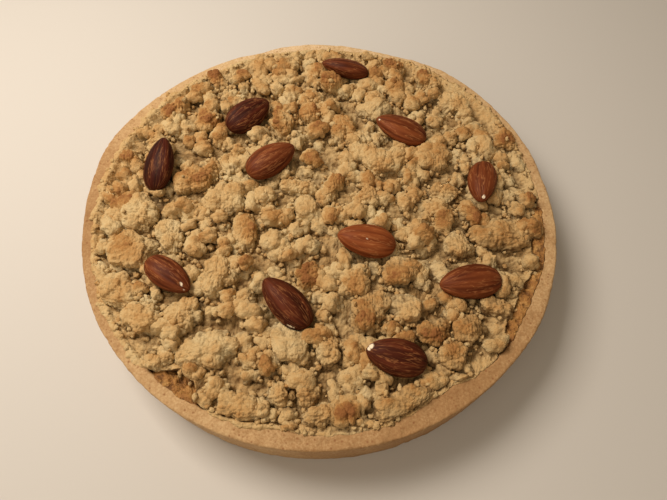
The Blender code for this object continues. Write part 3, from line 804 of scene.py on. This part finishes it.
# Rows: place, length and width in millimetres, turn in degrees, browning and cragginess
CLUMPS = (
    (-54, 12, 22, 13, 15, 0.8, 1.0), (-76, -5, 19, 16, 95, 0.1, 1.0), (-40, 2, 21, 15, 10, 0.05, 0.6),
    (-77, -23, 22, 18, 20, 0.4, 1.0), (-62, -15, 20, 11, 100, 0.1, 1.0), (-31, -15, 18, 11, 95, 0.6, 1.0),
    (-40, -34, 20, 15, 60, 0.15, 1.0), (-79, -41, 20, 16, -40, 0.35, 1.0),
    (-67, -52, 18, 15, -25, 0.35, 1.0), (-51, -50, 14, 13, 0, 0.5, 1.0), (-40, -65, 23, 15, 5, 0.1, 1.0),
    (-60, -69, 16, 8, 15, 0.25, 1.0), (-11, -62, 18, 16, 0, 0.1, 0.6), (4, -65, 12, 10, 80, 0.2, 1.0),
    (19, -50, 20, 14, 65, 0.7, 1.0), (-4, -35, 12, 12, 0, 0.8, 1.0), (15, -37, 15, 13, 80, 0.45, 1.0),
    (33, -33, 17, 15, 30, 0.7, 1.0), (-14, -81, 9, 9, 0, 0.15, 0.6), (-4, -81, 9, 9, 0, 0.5, 0.6),
    (-28, -85, 19, 10, -15, 0.25, 0.8), (2, -88, 14, 9, 0, 0.3, 1.0), (31, -84, 24, 12, 22, 0.35, 0.7),
    (43, -58, 14, 12, 20, 0.85, 1.0), (57, -57, 14, 12, 50, 0.5, 1.0), (68, -48, 13, 9, -20, 0.1, 0.8),
    (74, -16.5, 25, 16, -10, 0.45, 1.0), (57, -22, 14, 13, 0, 0.05, 0.8), (53, 4, 13, 12, 0, 0.3, 1.0),
    (50, 24, 19, 17, 90, 0.4, 0.5), (84, 34, 13, 11, 112, 0.7, 1.0), (25, 53, 17, 13, 0, 0.15, 0.15),
    (5, 68, 13, 10, -35, 1.0, 0.7), (10, 41, 17, 14, 100, 0.6, 1.0), (29, 22, 20, 16, 25, 0.4, 1.0),
    (-5, -4, 17, 12, 100, 0.1, 0.1), (-52, 74, 13, 9, 125, 0.9, 1.0), (-70, 55, 16, 12, 52, 0.9, 1.0),
    (-53, 47, 15, 13, 90, 0.8, 1.0), (36.5, 82, 13, 10, -24, 0.9, 1.0), (53, 73, 15, 12, -36, 0.9, 1.0),
    (64, 57, 16, 13, 140, 0.35, 1.0), (-86, 25, 13, 10, 73, 0.7, 1.0), (-18, 44, 17, 11, 100, 0.7, 1.0),
    (-5, 51, 14, 12, 30, 0.8, 1.0), (-9, 8, 17, 9, -15, 0.3, 1.0), (5, 7, 19, 9, 60, 0.6, 1.0),
    (20, 2, 14, 12, 0, 0.3, 1.0), (34, -49, 14, 13, 0, 0.1, 1.0), (50, -67, 13, 12, 40, 0.4, 1.0),
)
# A clump is CLUMP_TRUE times its row's size, and keeps others off as if it were CLUMP_SWELL times
CLUMP_SWELL, CLUMP_TRUE = 1.18, 1.04
# How much higher single clumps stand than their width gives, by number: the shard by the almond
# at the back is on end
STANDING = {32: 1.75}
# Balls that have grown together into a clump: how many, their places and radii as shares of its
# half sizes, and the flat faces broken off each
CLUMP_LOBES = 16
LOBE_DISTANCE, LOBE_RADIUS = (0.5, 0.66), (0.38, 0.5)
LOBE_FACES, LOBE_CUT = 5, 0.64
# The skin lies at least this share of the clump's half sizes from its middle
LEAST_REACH = 0.8
# The net over a clump, by points a side and the share of the ball that it covers
CLUMP_NET, DOME_SHARE = 72, 0.71
# Knobs on the skin: radius, how far they show, spread of radii, broken faces, how many lie over
# a spot, and how far each is sunk
CLUMP_KNOB = 2.9 * MM
KNOB_SHARE = 0.34
KNOB_RADII = (0.6, 1.45)
KNOB_FACES, KNOB_CUT = 4, 0.55
KNOB_COVER, KNOB_SUNK = 2.3, 0.3
# Depths of the coarse, middle and fine grains, plain and by cragginess
CLUMP_RELIEF = ((0.35 * MM, 0.4 * MM), (0.25 * MM, 0.5 * MM), (0.2 * MM, 0.3 * MM))
# The flat top: its height as a share of the clump's, how much it slopes, how sharp its edge is
PLATEAU_SHARE, PLATEAU_SLOPE, PLATEAU_POWER = 0.74, 0.24, 6
# How a clump makes room for an almond: the gap left, and by what share and how often a point
# that is in the way draws in
ALMOND_CLEARANCE = 0.15 * MM
DRAW_IN, DRAW_IN_STEPS = 0.94, 36
# From how far inside the wall a clump is pressed in by it
PRESS_DEPTH = 3.2 * MM
# A clump laps over the rim from a little below its top, and in full from a little above
LAP_BELOW, LAP_CLIMB = 1.2 * MM, 1.8 * MM
# Height of a clump's browned crest as a share of its rise
CREST_HEIGHT = 0.84
# Shares of the knobs, the grain and the height in a point's crest; a low crest, as low on a clump, gets
# painted shade
CLUMP_CREST = (0.15, 0.5, 0.45)
# Shares of the clump's own browning, of the height and of the patches in a point's browning
OWN_BROWNING, HIGH_BROWNING, PATCH_BROWNING = 0.85, 0.4, 0.3
PATCH_SIZE = 5.5 * MM
# How strong the painted shade on the crumble at the front right is, and how far from the middle
# that starts and grows, counted from the back left to the front right
PAINTED_SHADE_FRONT_RIGHT, PAINTED_SHADE_START, PAINTED_SHADE_LENGTH = 0.26, 11 * MM, 110 * MM
# Where clumps lap over the rim's inner edge: middle and half width in degrees, and how far
RIM_LAPS = (
    (-178, 4, 2.2 * MM), (-161, 4, 2.4 * MM), (-136, 5, 1.8 * MM), (-111, 4, 1.6 * MM),
    (-47, 3, 2.2 * MM), (22, 5, 4 * MM), (54, 6, 4.4 * MM), (66, 5, 3.6 * MM), (125, 4, 4.4 * MM),
    (142, 6, 2.6 * MM), (133, 4, 1.8 * MM), (154, 5, 1.8 * MM), (164, 6, 2 * MM),
    (174, 4, 1.8 * MM), (112, 4, 1.5 * MM), (90, 6, 1.2 * MM), (36, 6, 2.4 * MM),
    (10, 4, 1.2 * MM),
)


def dome(count):
    """Directions spread evenly over the top of a ball and down past its middle: the round net
    with equal shares of area, and one last point that closes the underside."""
    x, y, triangles, edge = round_net(count)
    share = np.hypot(x, y)
    rise = 1 - 2 * DOME_SHARE * share ** 2
    across = np.sqrt(1 - rise ** 2) / share
    top = np.stack([x * across, y * across, rise], axis=1)
    here, there = ring_numbers(len(edge))
    under = fan(len(top), edge[there], edge[here])
    return np.vstack([top, (0, 0, -1)]), np.vstack([triangles, under])


def lobes_for(rng, count):
    """The balls that have grown together into a clump of unit size: centres and radii."""
    centres, radii = [], []
    for _ in range(count):
        way = Vector((rng.gauss(0, 1), rng.gauss(0, 1), rng.gauss(0, 0.8))).normalized()
        centres.append(way * rng.uniform(*LOBE_DISTANCE))
        radii.append(rng.uniform(*LOBE_RADIUS))
    return np.array([tuple(centre) for centre in centres]), np.array(radii)


def furthest_skin(directions, centres, radii, cuts=None):
    """How far out the balls reach along each direction: the furthest point where the ray
    leaves one of them, or 0 where it meets none. Cuts are planes that slice flat faces off
    each ball: their outward normals, and their distances from its centre."""
    along = directions @ centres.T
    inside = radii ** 2 - (centres ** 2).sum(axis=1) + along ** 2
    half_chord = np.sqrt(np.maximum(inside, 0))
    leave, enter = along + half_chord, along - half_chord
    if cuts:
        normals, heights = cuts
        facing = np.einsum("nk,lpk->nlp", directions, normals)
        level = heights + np.einsum("lk,lpk->lp", centres, normals)
        crossing = level / np.where(np.abs(facing) < 1e-6, 1e-6, facing)
        leave = np.minimum(leave, np.where(facing > 0, crossing, np.inf).min(axis=2))
        enter = np.maximum(enter, np.where(facing > 0, -np.inf, crossing).max(axis=2))
    met = (inside > 0) & (leave > enter)
    return np.maximum(np.where(met, leave, 0).max(axis=1), 0)


def break_faces(draws, radii, count, least):
    """Random planes that break flat faces off balls of the given radii."""
    normals = draws.normal(size=(len(radii), count, 3))
    normals /= np.linalg.norm(normals, axis=2)[:, :, None]
    return normals, radii[:, None] * draws.uniform(least, 0.98, (len(radii), count))


def clump_rows():
    """The large clumps as middle x and y, half length, half width, turn and rise. The rise
    grows with the width."""
    rows = []
    for index, (x, y, length, width, turn, _, _) in enumerate(CLUMPS):
        rise = CLUMP_RISE * min(1.0, 0.55 + width / 36) * STANDING.get(index, 1)
        half_length, half_width = length * MM / 2 * CLUMP_SWELL, width * MM / 2 * CLUMP_SWELL
        rows.append((x * MM, y * MM, half_length, half_width, math.radians(turn), rise))
    return rows


def under_almond(places, turned, middle, length, width):
    """Which points lie in an almond or above it."""
    local = (places - middle) @ turned
    reach = length / 2 + ALMOND_CLEARANCE
    along = (local[:, 0] + reach) / (2 * reach)
    share = almond_share(along)
    half_width = share * length * width / 2 + ALMOND_CLEARANCE
    half_depth = share * length * ALMOND_THICKNESS / 2 + ALMOND_CLEARANCE
    across = np.abs(local[:, 1]) / half_width
    under = -half_depth * np.sqrt(np.maximum(1 - across ** 2, 0))
    inside = (along > 0) & (along < 1) & (across < 1)
    return inside & (local[:, 2] > under)


def knobs_on(draws, skin, halves, knob):
    """Small broken balls set on a lump's skin, each sunk by a share of its radius: centres,
    radii and broken faces. skin is the lump's balls and cuts."""
    count = int(KNOB_COVER * halves[0] * halves[1] / knob ** 2)
    ways = draws.normal(size=(count, 3))
    ways[:, 2] = np.abs(ways[:, 2]) - 0.3
    ways *= halves
    ways /= np.linalg.norm(ways, axis=1)[:, None]
    sizes = knob * draws.uniform(*KNOB_RADII, count)
    reach = np.maximum(furthest_skin(ways, *skin), LEAST_REACH / np.linalg.norm(ways / halves, axis=1))
    centres = ways * (reach - KNOB_SUNK * sizes)[:, None]
    return centres, sizes, break_faces(draws, sizes, KNOB_FACES, KNOB_CUT)


def eased(reach, share):
    """Reach over the round net with its steepest drops filled: three times, no point stays
    further in than a share of the furthest of its four neighbours."""
    count = math.isqrt(len(reach))
    grid = reach[:-1].reshape(count, count)
    for _ in range(3):
        wide = np.pad(grid, 1, mode="edge")
        beside = np.maximum(wide[:-2, 1:-1], wide[2:, 1:-1])
        beside = np.maximum(beside, np.maximum(wide[1:-1, :-2], wide[1:-1, 2:]))
        grid = np.maximum(grid, share * beside)
    return np.append(grid.ravel(), reach[-1])


def settled(offsets, middle, near):
    """The points of a lump where it lies: each is drawn in towards the lump's middle until it
    is clear of the almonds, stays inside the case's wall or laps on to the rim, and doesn't go
    below the filling. None where an almond covers the middle."""
    shrink = np.ones(len(offsets))
    for _ in range(DRAW_IN_STEPS):
        places = middle + offsets * shrink[:, None]
        blocked = np.zeros(len(offsets), bool)
        for almond in near:
            blocked |= under_almond(places, *almond)
        if not blocked.any():
            break
        shrink[blocked] *= DRAW_IN
    else:
        return None
    angle = np.arctan2(places[:, 1], places[:, 0])
    radius = np.hypot(places[:, 0], places[:, 1])
    over = np.clip((places[:, 2] - rim_top(angle) + LAP_BELOW) / LAP_CLIMB, 0, 1)
    wall = inner_wall(angle, RIM_HEIGHT) + crumbling(angle)
    limit = wall + over * (LEAST_LAP + swell(angle, RIM_LAPS))
    soft = limit - PRESS_DEPTH
    beyond = np.maximum(radius - soft, 0)
    pressed = np.minimum(radius, soft) + PRESS_DEPTH * (1 - np.exp(-beyond / PRESS_DEPTH))
    places[:, :2] *= (pressed / radius)[:, None]
    on_rim = pressed > inner_edge(angle) - 0.5 * MM
    lowest = np.where(on_rim, rim_top(angle) + 0.05 * MM, CORE_BOTTOM + 0.5 * MM)
    places[:, 2] = np.maximum(places[:, 2], lowest)
    return places


def almonds_near(x, y, reach):
    """The almonds that a lump of that reach may touch."""
    return [
        almond for almond in almonds
        if math.hypot(x - almond[1][0], y - almond[1][1]) < almond[2] / 2 + reach
    ]


def shades_of(places, parts, shares, toast, high):
    """Browning and crest share of points: the crest is the shares of its parts, browning
    gathers on what stands high and in patches, and the front right gets a painted shade."""
    crest = sum(share * part for share, part in zip(shares, parts))
    browning = OWN_BROWNING * toast * (0.2 + 0.8 * high) + HIGH_BROWNING * (high - 0.5)
    browning += PATCH_BROWNING * wavy(places, PATCH_SIZE, 300)
    across = places[:, 0] - places[:, 1]
    front_right_painted_shade = PAINTED_SHADE_FRONT_RIGHT * np.clip((across - PAINTED_SHADE_START) / PAINTED_SHADE_LENGTH, 0, 1)
    return {"toast": browning + 0.5 * front_right_painted_shade, "crest": np.clip(crest - front_right_painted_shade, 0, 1)}


def knobbly(draws, net, halves, centres, radii, knob, crag):
    """Offsets from a lump's middle and the crest share of each: rays over the net leave the
    furthest broken lobe, then the furthest knob. Lobes and knobs are round whatever the lump's
    halves are, and the lobes at its ends reach as far as if they were stretched with it."""
    mean = halves.prod() ** (1 / 3)
    outward = centres / np.linalg.norm(centres, axis=1)[:, None]
    centres = centres * halves + outward * radii[:, None] * (halves - mean)
    radii = radii * mean * 1.05
    skin = (centres, radii, break_faces(draws, radii, LOBE_FACES, LOBE_CUT))
    ways = net[0] * halves
    ways /= np.linalg.norm(ways, axis=1)[:, None]
    least = (LEAST_REACH - 0.08) / np.linalg.norm(ways / halves, axis=1)
    sunk = np.maximum(furthest_skin(ways, *skin), least)
    knobbed = furthest_skin(ways, *knobs_on(draws, skin, halves, knob))
    sunk = np.maximum(sunk - 0.75 * crag * knob, 0.5 * sunk)
    reach = eased(np.maximum(sunk, sunk + crag * (knobbed - sunk)), 1 - 2.6 / len(net[0]) ** 0.5)
    return ways * reach[:, None], np.clip((reach - sunk) / (1.1 * knob), 0, 1)


def turned_by(turn):
    """Turns rows of x, y, z about the upright."""
    cosine, sine = math.cos(turn), math.sin(turn)
    return np.array(((cosine, sine, 0), (-sine, cosine, 0), (0, 0, 1)))


def squarely(offsets, outward):
    """How squarely the net faces outwards, 0 to 1: the normal from each point's neighbours on
    the net, against the outward direction."""
    count = math.isqrt(len(offsets))
    grid = offsets[:-1].reshape(count, count, 3)
    normal = np.cross(np.gradient(grid, axis=0), np.gradient(grid, axis=1)).reshape(-1, 3)
    normal /= np.maximum(np.linalg.norm(normal, axis=1), 1e-12)[:, None]
    return np.append(np.abs((normal * outward[:-1]).sum(axis=1)), 1)


def grained(offsets, halves, turn, middle, depths, salt):
    """Offsets turned about the upright and moved by the crumb relief about its own mean, along
    the outward direction of a ball stretched to the lump's halves, less where the net is steep
    and so too coarse for it; and the crest share."""
    outward = offsets / halves ** 2
    outward /= np.linalg.norm(outward, axis=1)[:, None]
    turned = offsets @ turned_by(turn)
    height, crest = crumb_relief(middle + turned, salt, depths)
    hold = np.clip((squarely(offsets, outward) - 0.3) / 0.4, 0.1, 1)
    moved = (height - height.mean()) * hold
    return turned + outward @ turned_by(turn) * moved[:, None], 0.45 + (crest - 0.45) * hold


def flattened(offsets, cap, slopes):
    """Offsets with the top pressed to a gently tilted plateau: a soft minimum of their height
    and the plateau's height there, both as shares of the cap."""
    plateau = np.maximum(1 + offsets[:, 0] * slopes[0] + offsets[:, 1] * slopes[1], 0.4)
    height = np.maximum(offsets[:, 2], 1e-6) / cap
    pressed = cap * (height ** -PLATEAU_POWER + plateau ** -PLATEAU_POWER) ** (-1 / PLATEAU_POWER)
    flat = offsets.copy()
    flat[:, 2] = np.where(offsets[:, 2] > 0, pressed, offsets[:, 2])
    return flat


def clump_surface(index, row, net, toast, crag):
    """Points and shades of one large clump where it lies, or None."""
    x, y, half_length, half_width, turn, rise = row
    centres, radii = lobes_for(random.Random(1000 + index), CLUMP_LOBES)
    draws = np.random.default_rng(5000 + index)
    halves = np.array((half_length, half_width, rise * CLUMP_SWELL)) * CLUMP_TRUE / CLUMP_SWELL
    offsets, crest = knobbly(draws, net, halves, centres, radii, CLUMP_KNOB, KNOB_SHARE * crag)
    slopes = draws.normal(0, PLATEAU_SLOPE, 2) / halves[:2]
    offsets = flattened(offsets, PLATEAU_SHARE * halves[2], slopes)
    middle = np.array((x, y, core_top(x, y)))
    depths = [plain + by_crag * crag for plain, by_crag in CLUMP_RELIEF]
    offsets, fine_crest = grained(offsets, halves * (1, 1, 0.8), turn, middle, depths, 200 + index)
    places = settled(offsets, middle, almonds_near(x, y, half_length * 1.4))
    if places is None:
        return None
    high = np.clip((places[:, 2] - core_top(x, y)) / (CREST_HEIGHT * rise), 0, 1.2)
    return places, shades_of(places, (crest, fine_crest, high), CLUMP_CREST, toast, high)


def repeated(net, count):
    """The triangles of a net again for each of count bodies, whose points follow each other."""
    shifts = np.repeat(np.arange(count) * len(net[0]), len(net[1]))[:, None]
    return np.tile(net[1], (count, 1)) + shifts


def join_clumps(name, surfaces, net):
    """Makes one piece of the clumps that share a net of triangles, and gives its points."""
    kept = [surface for surface in surfaces if surface]
    points = np.vstack([surface[0] for surface in kept])
    shades = {
        shade: np.concatenate([surface[1][shade] for surface in kept])
        for shade in ("toast", "crest")
    }
    piece = make_piece(name, (points, repeated(net, len(kept)), shades), crumble_finish)
    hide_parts("crumble")
    return points


rows = clump_rows()
clump_net = dome(CLUMP_NET)
named = [
    clump_surface(index, rows[index], clump_net, *CLUMPS[index][5:])
    for index in range(len(CLUMPS))
]
third = len(named) // 3
strewn = [
    join_clumps("large_clumps_left", named[:third], clump_net),
    join_clumps("large_clumps_middle", named[third:2 * third], clump_net),
    join_clumps("large_clumps_right", named[2 * third:], clump_net),
]

# The nuggets
# Smaller bits of the same crumble, 4 to 8 mm across, that fill the room between the large
# clumps. They touch and lean on each other, with dark gaps between.
NUGGET_NET = 16
NUGGET_SHOWS = 0.15
NUGGET_KNOB, NUGGET_CRAG = 1.25 * MM, 0.8
NUGGET_RELIEF = (0.45 * MM, 0.45 * MM, 0.32 * MM)
# Shares of the knobs, the grain and the height in a nugget's crest; low parts get painted shade
NUGGET_CREST = (0.2, 0.45, 0.5)
NUGGET_BROWNING = 0.6
# They lie in small lumps: widths, spacing as a share of two neighbours' half sizes, rise, and
# lobes in each. The lumps are put at the spots of a spiral
LUMP_SIZES = (17 * MM, 15 * MM, 13 * MM, 11.5 * MM)
LUMP_SPACING = 0.62
LUMP_RISE = 5.4 * MM
LUMP_LOBES = 7
SPOT_COUNT = 700
GOLDEN_ANGLE = math.pi * (3 - math.sqrt(5))
SEED = 11


def with_lumps(rows):
    """The rows of the large clumps, and after them a row for each lump: one wherever a spot on
    the spiral leaves room, the widest first."""
    rows = list(rows)
    rng = random.Random(SEED)
    field = OUTER_RADIUS - RIM_WIDTH
    spots = list(range(SPOT_COUNT))
    rng.shuffle(spots)
    for size in LUMP_SIZES:
        for spot in spots:
            radius = (field - size / 4) * math.sqrt((spot + 0.5) / SPOT_COUNT)
            x, y = radius * math.cos(spot * GOLDEN_ANGLE), radius * math.sin(spot * GOLDEN_ANGLE)
            if any(
                math.hypot(x - other[0], y - other[1])
                < LUMP_SPACING * (size / 2 + (other[2] + other[3]) / 2)
                for other in rows
            ):
                continue
            width = size * rng.uniform(0.85, 1)
            rise = LUMP_RISE * rng.uniform(0.7, 1.15)
            rows.append((x, y, size / 2, width / 2, rng.uniform(0, math.pi), rise))
    return rows


def nugget_surfaces(index, row, net, toast):
    """Points and shades of the nuggets that stand for one small lump: each of its lobes that
    shows is a nugget of its own."""
    x, y, half_length, half_width, turn, rise = row
    lobes, sizes = lobes_for(random.Random(1000 + index), LUMP_LOBES)
    draws = np.random.default_rng(5000 + index)
    surfaces = []
    for lobe, size in zip(lobes, sizes):
        if lobe[2] + size < NUGGET_SHOWS:
            continue
        middle = (lobe * (half_length, half_width, rise)) @ turned_by(turn) + (x, y, core_top(x, y))
        bearing = math.atan2(middle[1], middle[0])
        edge = inner_edge(bearing) - min(swell(bearing, BARE_PATCHES), PATCH_DEPTH)
        if math.hypot(middle[0], middle[1]) > edge + 1 * MM:
            continue
        size = size * math.sqrt(half_length * half_width) * draws.uniform(0.9, 1.3)
        halves = size * draws.uniform((0.9, 0.75, 0.75), (1.3, 1.0, 1.0))
        centres = draws.normal(size=(6, 3))
        centres *= 0.4 / np.linalg.norm(centres, axis=1)[:, None]
        radii = draws.uniform(0.5, 0.7, 6)
        offsets, crest = knobbly(draws, net, halves, centres, radii, NUGGET_KNOB, NUGGET_CRAG)
        facing = draws.uniform(0, math.pi)
        offsets, fine_crest = grained(offsets, halves, facing, middle, NUGGET_RELIEF, 400 + index)
        places = settled(offsets, middle, almonds_near(middle[0], middle[1], size * 1.4))
        if places is None:
            continue
        high = np.clip((places[:, 2] - core_top(x, y)) / rise, 0, 1.2)
        browned = min(toast + draws.uniform(-0.2, 0.2), NUGGET_BROWNING)
        parts = (crest, fine_crest, high)
        surfaces.append((places, shades_of(places, parts, NUGGET_CREST, browned, 0.8 * high)))
    return surfaces


rows = with_lumps(rows)
nugget_net = dome(NUGGET_NET)
toasts = np.random.default_rng(21).beta(1.2, 2.6, len(rows))
nuggets = []
for index in range(len(CLUMPS), len(rows)):
    nuggets += nugget_surfaces(index, rows[index], nugget_net, toasts[index])
half = len(nuggets) // 2
strewn.append(join_clumps("nuggets_first", nuggets[:half], nugget_net))
strewn.append(join_clumps("nuggets_second", nuggets[half:], nugget_net))

# The crumbs
# Loose bits 1.5 to 3.5 mm across, rubbed off the same crumble as it was strewn and baked where
# they fell: most of them in the gaps, some on top, and some on the rim by the lapping crust.
CRUMB_RADII = (0.75 * MM, 1.7 * MM)
CRUMB_NET = 6
CRUMB_COUNT, CRUMB_TRIES = 1200, 7500
ON_TOP_SHARE = 0.008
HEIGHT_CELL = 0.8 * MM
# Crumbs stuck at the edge of the lapping crust: start and end of each stretch in degrees, and
# how many, and how much flatter they are
RIM_STRETCHES = ((125, 222, 110), (18, 78, 70), (78, 125, 16), (0, 18, 8), (-115, -50, 30))
RIM_FLATNESS = 0.55


def crumb_places(draws):
    """Where crumbs lie: random spots over the field, kept where the strewn pieces leave a gap
    and, for a small share, elsewhere. Gaps are found on a grid of the greatest height of the
    pieces' points, as what lies lower than the height blurred over the cells around."""
    cells = int(2 * OUTER_RADIUS / HEIGHT_CELL) + 1
    line = (np.arange(cells) + 0.5) * HEIGHT_CELL - OUTER_RADIUS
    grid_x, grid_y = np.meshgrid(line, line, indexing="ij")
    height = core_top(grid_x, grid_y)
    for points in strewn:
        spot = ((points[:, :2] + OUTER_RADIUS) / HEIGHT_CELL).astype(int)
        spot = np.clip(spot, 0, cells - 1)
        np.maximum.at(height, (spot[:, 0], spot[:, 1]), points[:, 2])
    around = height.copy()
    for _ in range(4):
        around = (
            around + np.roll(around, 1, 0) + np.roll(around, -1, 0)
            + np.roll(around, 1, 1) + np.roll(around, -1, 1)
        ) / 5
    radius = (OUTER_RADIUS - RIM_WIDTH - 1.5 * MM) * np.sqrt(draws.random(CRUMB_TRIES))
    angle = draws.uniform(0, 2 * math.pi, CRUMB_TRIES)
    x, y = radius * np.cos(angle), radius * np.sin(angle)
    spot_x, spot_y = ((value + OUTER_RADIUS) / HEIGHT_CELL for value in (x, y))
    spot_x, spot_y = spot_x.astype(int), spot_y.astype(int)
    top, level = height[spot_x, spot_y], around[spot_x, spot_y]
    kept = (top < level - 0.5 * MM) | (draws.random(CRUMB_TRIES) < ON_TOP_SHARE)
    places = np.stack([x, y, top + 0.1 * MM], axis=1)
    for turned, middle, length, _ in almonds:
        local = np.abs((places - middle) @ turned)
        kept &= (local[:, 0] > length / 2 + 1 * MM) | (local[:, 1] > length * 0.3 + 1 * MM)
    return places[kept][:CRUMB_COUNT]


def rim_crumb_places(draws):
    """Where crumbs stick to the rim: just inside the edge of the lapping crust."""
    start, end, count = (np.array(column) for column in zip(*RIM_STRETCHES))
    angle = np.radians(draws.uniform(np.repeat(start, count), np.repeat(end, count)))
    radius = inner_edge(angle) + lap(angle) + draws.uniform(-2.4, -0.3, len(angle)) * MM
    height = rim_top(angle) + 0.3 * MM
    return np.stack([radius * np.cos(angle), radius * np.sin(angle), height], axis=1)


def crumb_surface(net):
    """Joined knobbly balls: each point of a small dome is pushed out by its own random share,
    then by the crumb's size and stretch. Those on the rim are flatter."""
    draws = np.random.default_rng(77)
    places, on_rim = crumb_places(draws), rim_crumb_places(draws)
    flat = np.repeat((1.0, RIM_FLATNESS), (len(places), len(on_rim)))
    places = np.vstack([places, on_rim])
    count, corners = len(places), len(net[0])
    sizes = draws.uniform(*CRUMB_RADII, count) * draws.uniform(0.7, 1, count)
    stretch = draws.uniform(0.65, 1.3, (count, 1, 3))
    stretch[:, 0, 2] *= flat
    push = draws.uniform(0.62, 1.25, (count, corners, 1))
    points = places[:, None, :] + net[0] * push * stretch * sizes[:, None, None]
    toast = np.repeat(draws.beta(1.2, 3.0, count) * 0.5 + 0.1, corners)
    # Lower halves get a low crest share, so each crumb has a painted shade underneath
    crest = np.tile(0.27 + 0.3 * (net[0][:, 2] > 0), count)
    return points.reshape(-1, 3), repeated(net, count), {"toast": toast, "crest": crest}


crumbs = make_piece("loose_crumbs", crumb_surface(dome(CRUMB_NET)), crumble_finish)
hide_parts("crumble")

# The stand
# A plain pale floor, soft light from a window-like panel above the left, a little behind, and a
# weak fill from the front left.
FLOOR_REACH = 3
# Smooth matt board, a pale warm grey without a pattern
floor_material, _, floor_shader, _ = new_material("pale_floor", 0.7)
floor_shader.inputs["Base Color"].default_value = linear("#CFCBC4")
floor_mesh = bpy.data.meshes.new("floor")
floor_corners = [(FLOOR_REACH * x, FLOOR_REACH * y, 0) for x, y in ((-1, -1), (1, -1), (1, 1), (-1, 1))]
floor_mesh.from_pydata(floor_corners, [], [(0, 1, 2, 3)])
floor_mesh.materials.append(floor_material)
floor = bpy.data.objects.new("floor", floor_mesh)
bpy.context.scene.collection.objects.link(floor)


def panel(name, place, aim, width, power, colour):
    """A square light panel at a place, facing the aim."""
    light = bpy.data.lights.new(name, "AREA")
    light.size = width
    light.energy = power
    light.color = linear(colour)[:3]
    item = bpy.data.objects.new(name, light)
    item.location = place
    item.rotation_euler = (Vector(aim) - Vector(place)).to_track_quat("-Z", "Y").to_euler()
    bpy.context.scene.collection.objects.link(item)


panel("window", (-0.26, 0.14, 0.46), aim=(0, 0, 0), width=0.26, power=2.8, colour="#FFF3E6")
panel("fill", (-0.22, -0.42, 0.45), aim=(0, -0.03, 0), width=0.5, power=0.8, colour="#FFEEDA")
world = bpy.data.worlds.new("room")
world.use_nodes = True
background = world.node_tree.nodes["Background"]
background.inputs["Color"].default_value = linear("#F2DEC2")
background.inputs["Strength"].default_value = 0.27
bpy.context.scene.world = world
bpy.context.scene.view_settings.view_transform = "Standard"

# The camera stands above and before the front edge and looks down at 62 degrees, as the
# photograph does. Its place is in millimetres from the middle of the rim's circle.
CAMERA_PLACE = (5.889, -120.436, 206.845)
CAMERA_FOCUS_PX, IMAGE_WIDTH_PX = 505, 667
CAMERA_ELEVATION, CAMERA_ROLL = 61.75, -0.249
SENSOR_WIDTH = 36
camera = bpy.data.cameras.new("camera")
camera.sensor_width = SENSOR_WIDTH
camera.lens = SENSOR_WIDTH * CAMERA_FOCUS_PX / IMAGE_WIDTH_PX
camera.clip_start = 0.01
camera_item = bpy.data.objects.new("camera", camera)
tilt = Matrix.Rotation(math.radians(90 - CAMERA_ELEVATION), 4, "X")
roll = Matrix.Rotation(math.radians(CAMERA_ROLL), 4, "Z")
camera_place = Vector(CAMERA_PLACE) * MM - Vector(PLAN_MIDDLE)
camera_item.matrix_world = Matrix.Translation(camera_place) @ tilt @ roll
bpy.context.scene.collection.objects.link(camera_item)
bpy.context.scene.camera = camera_item
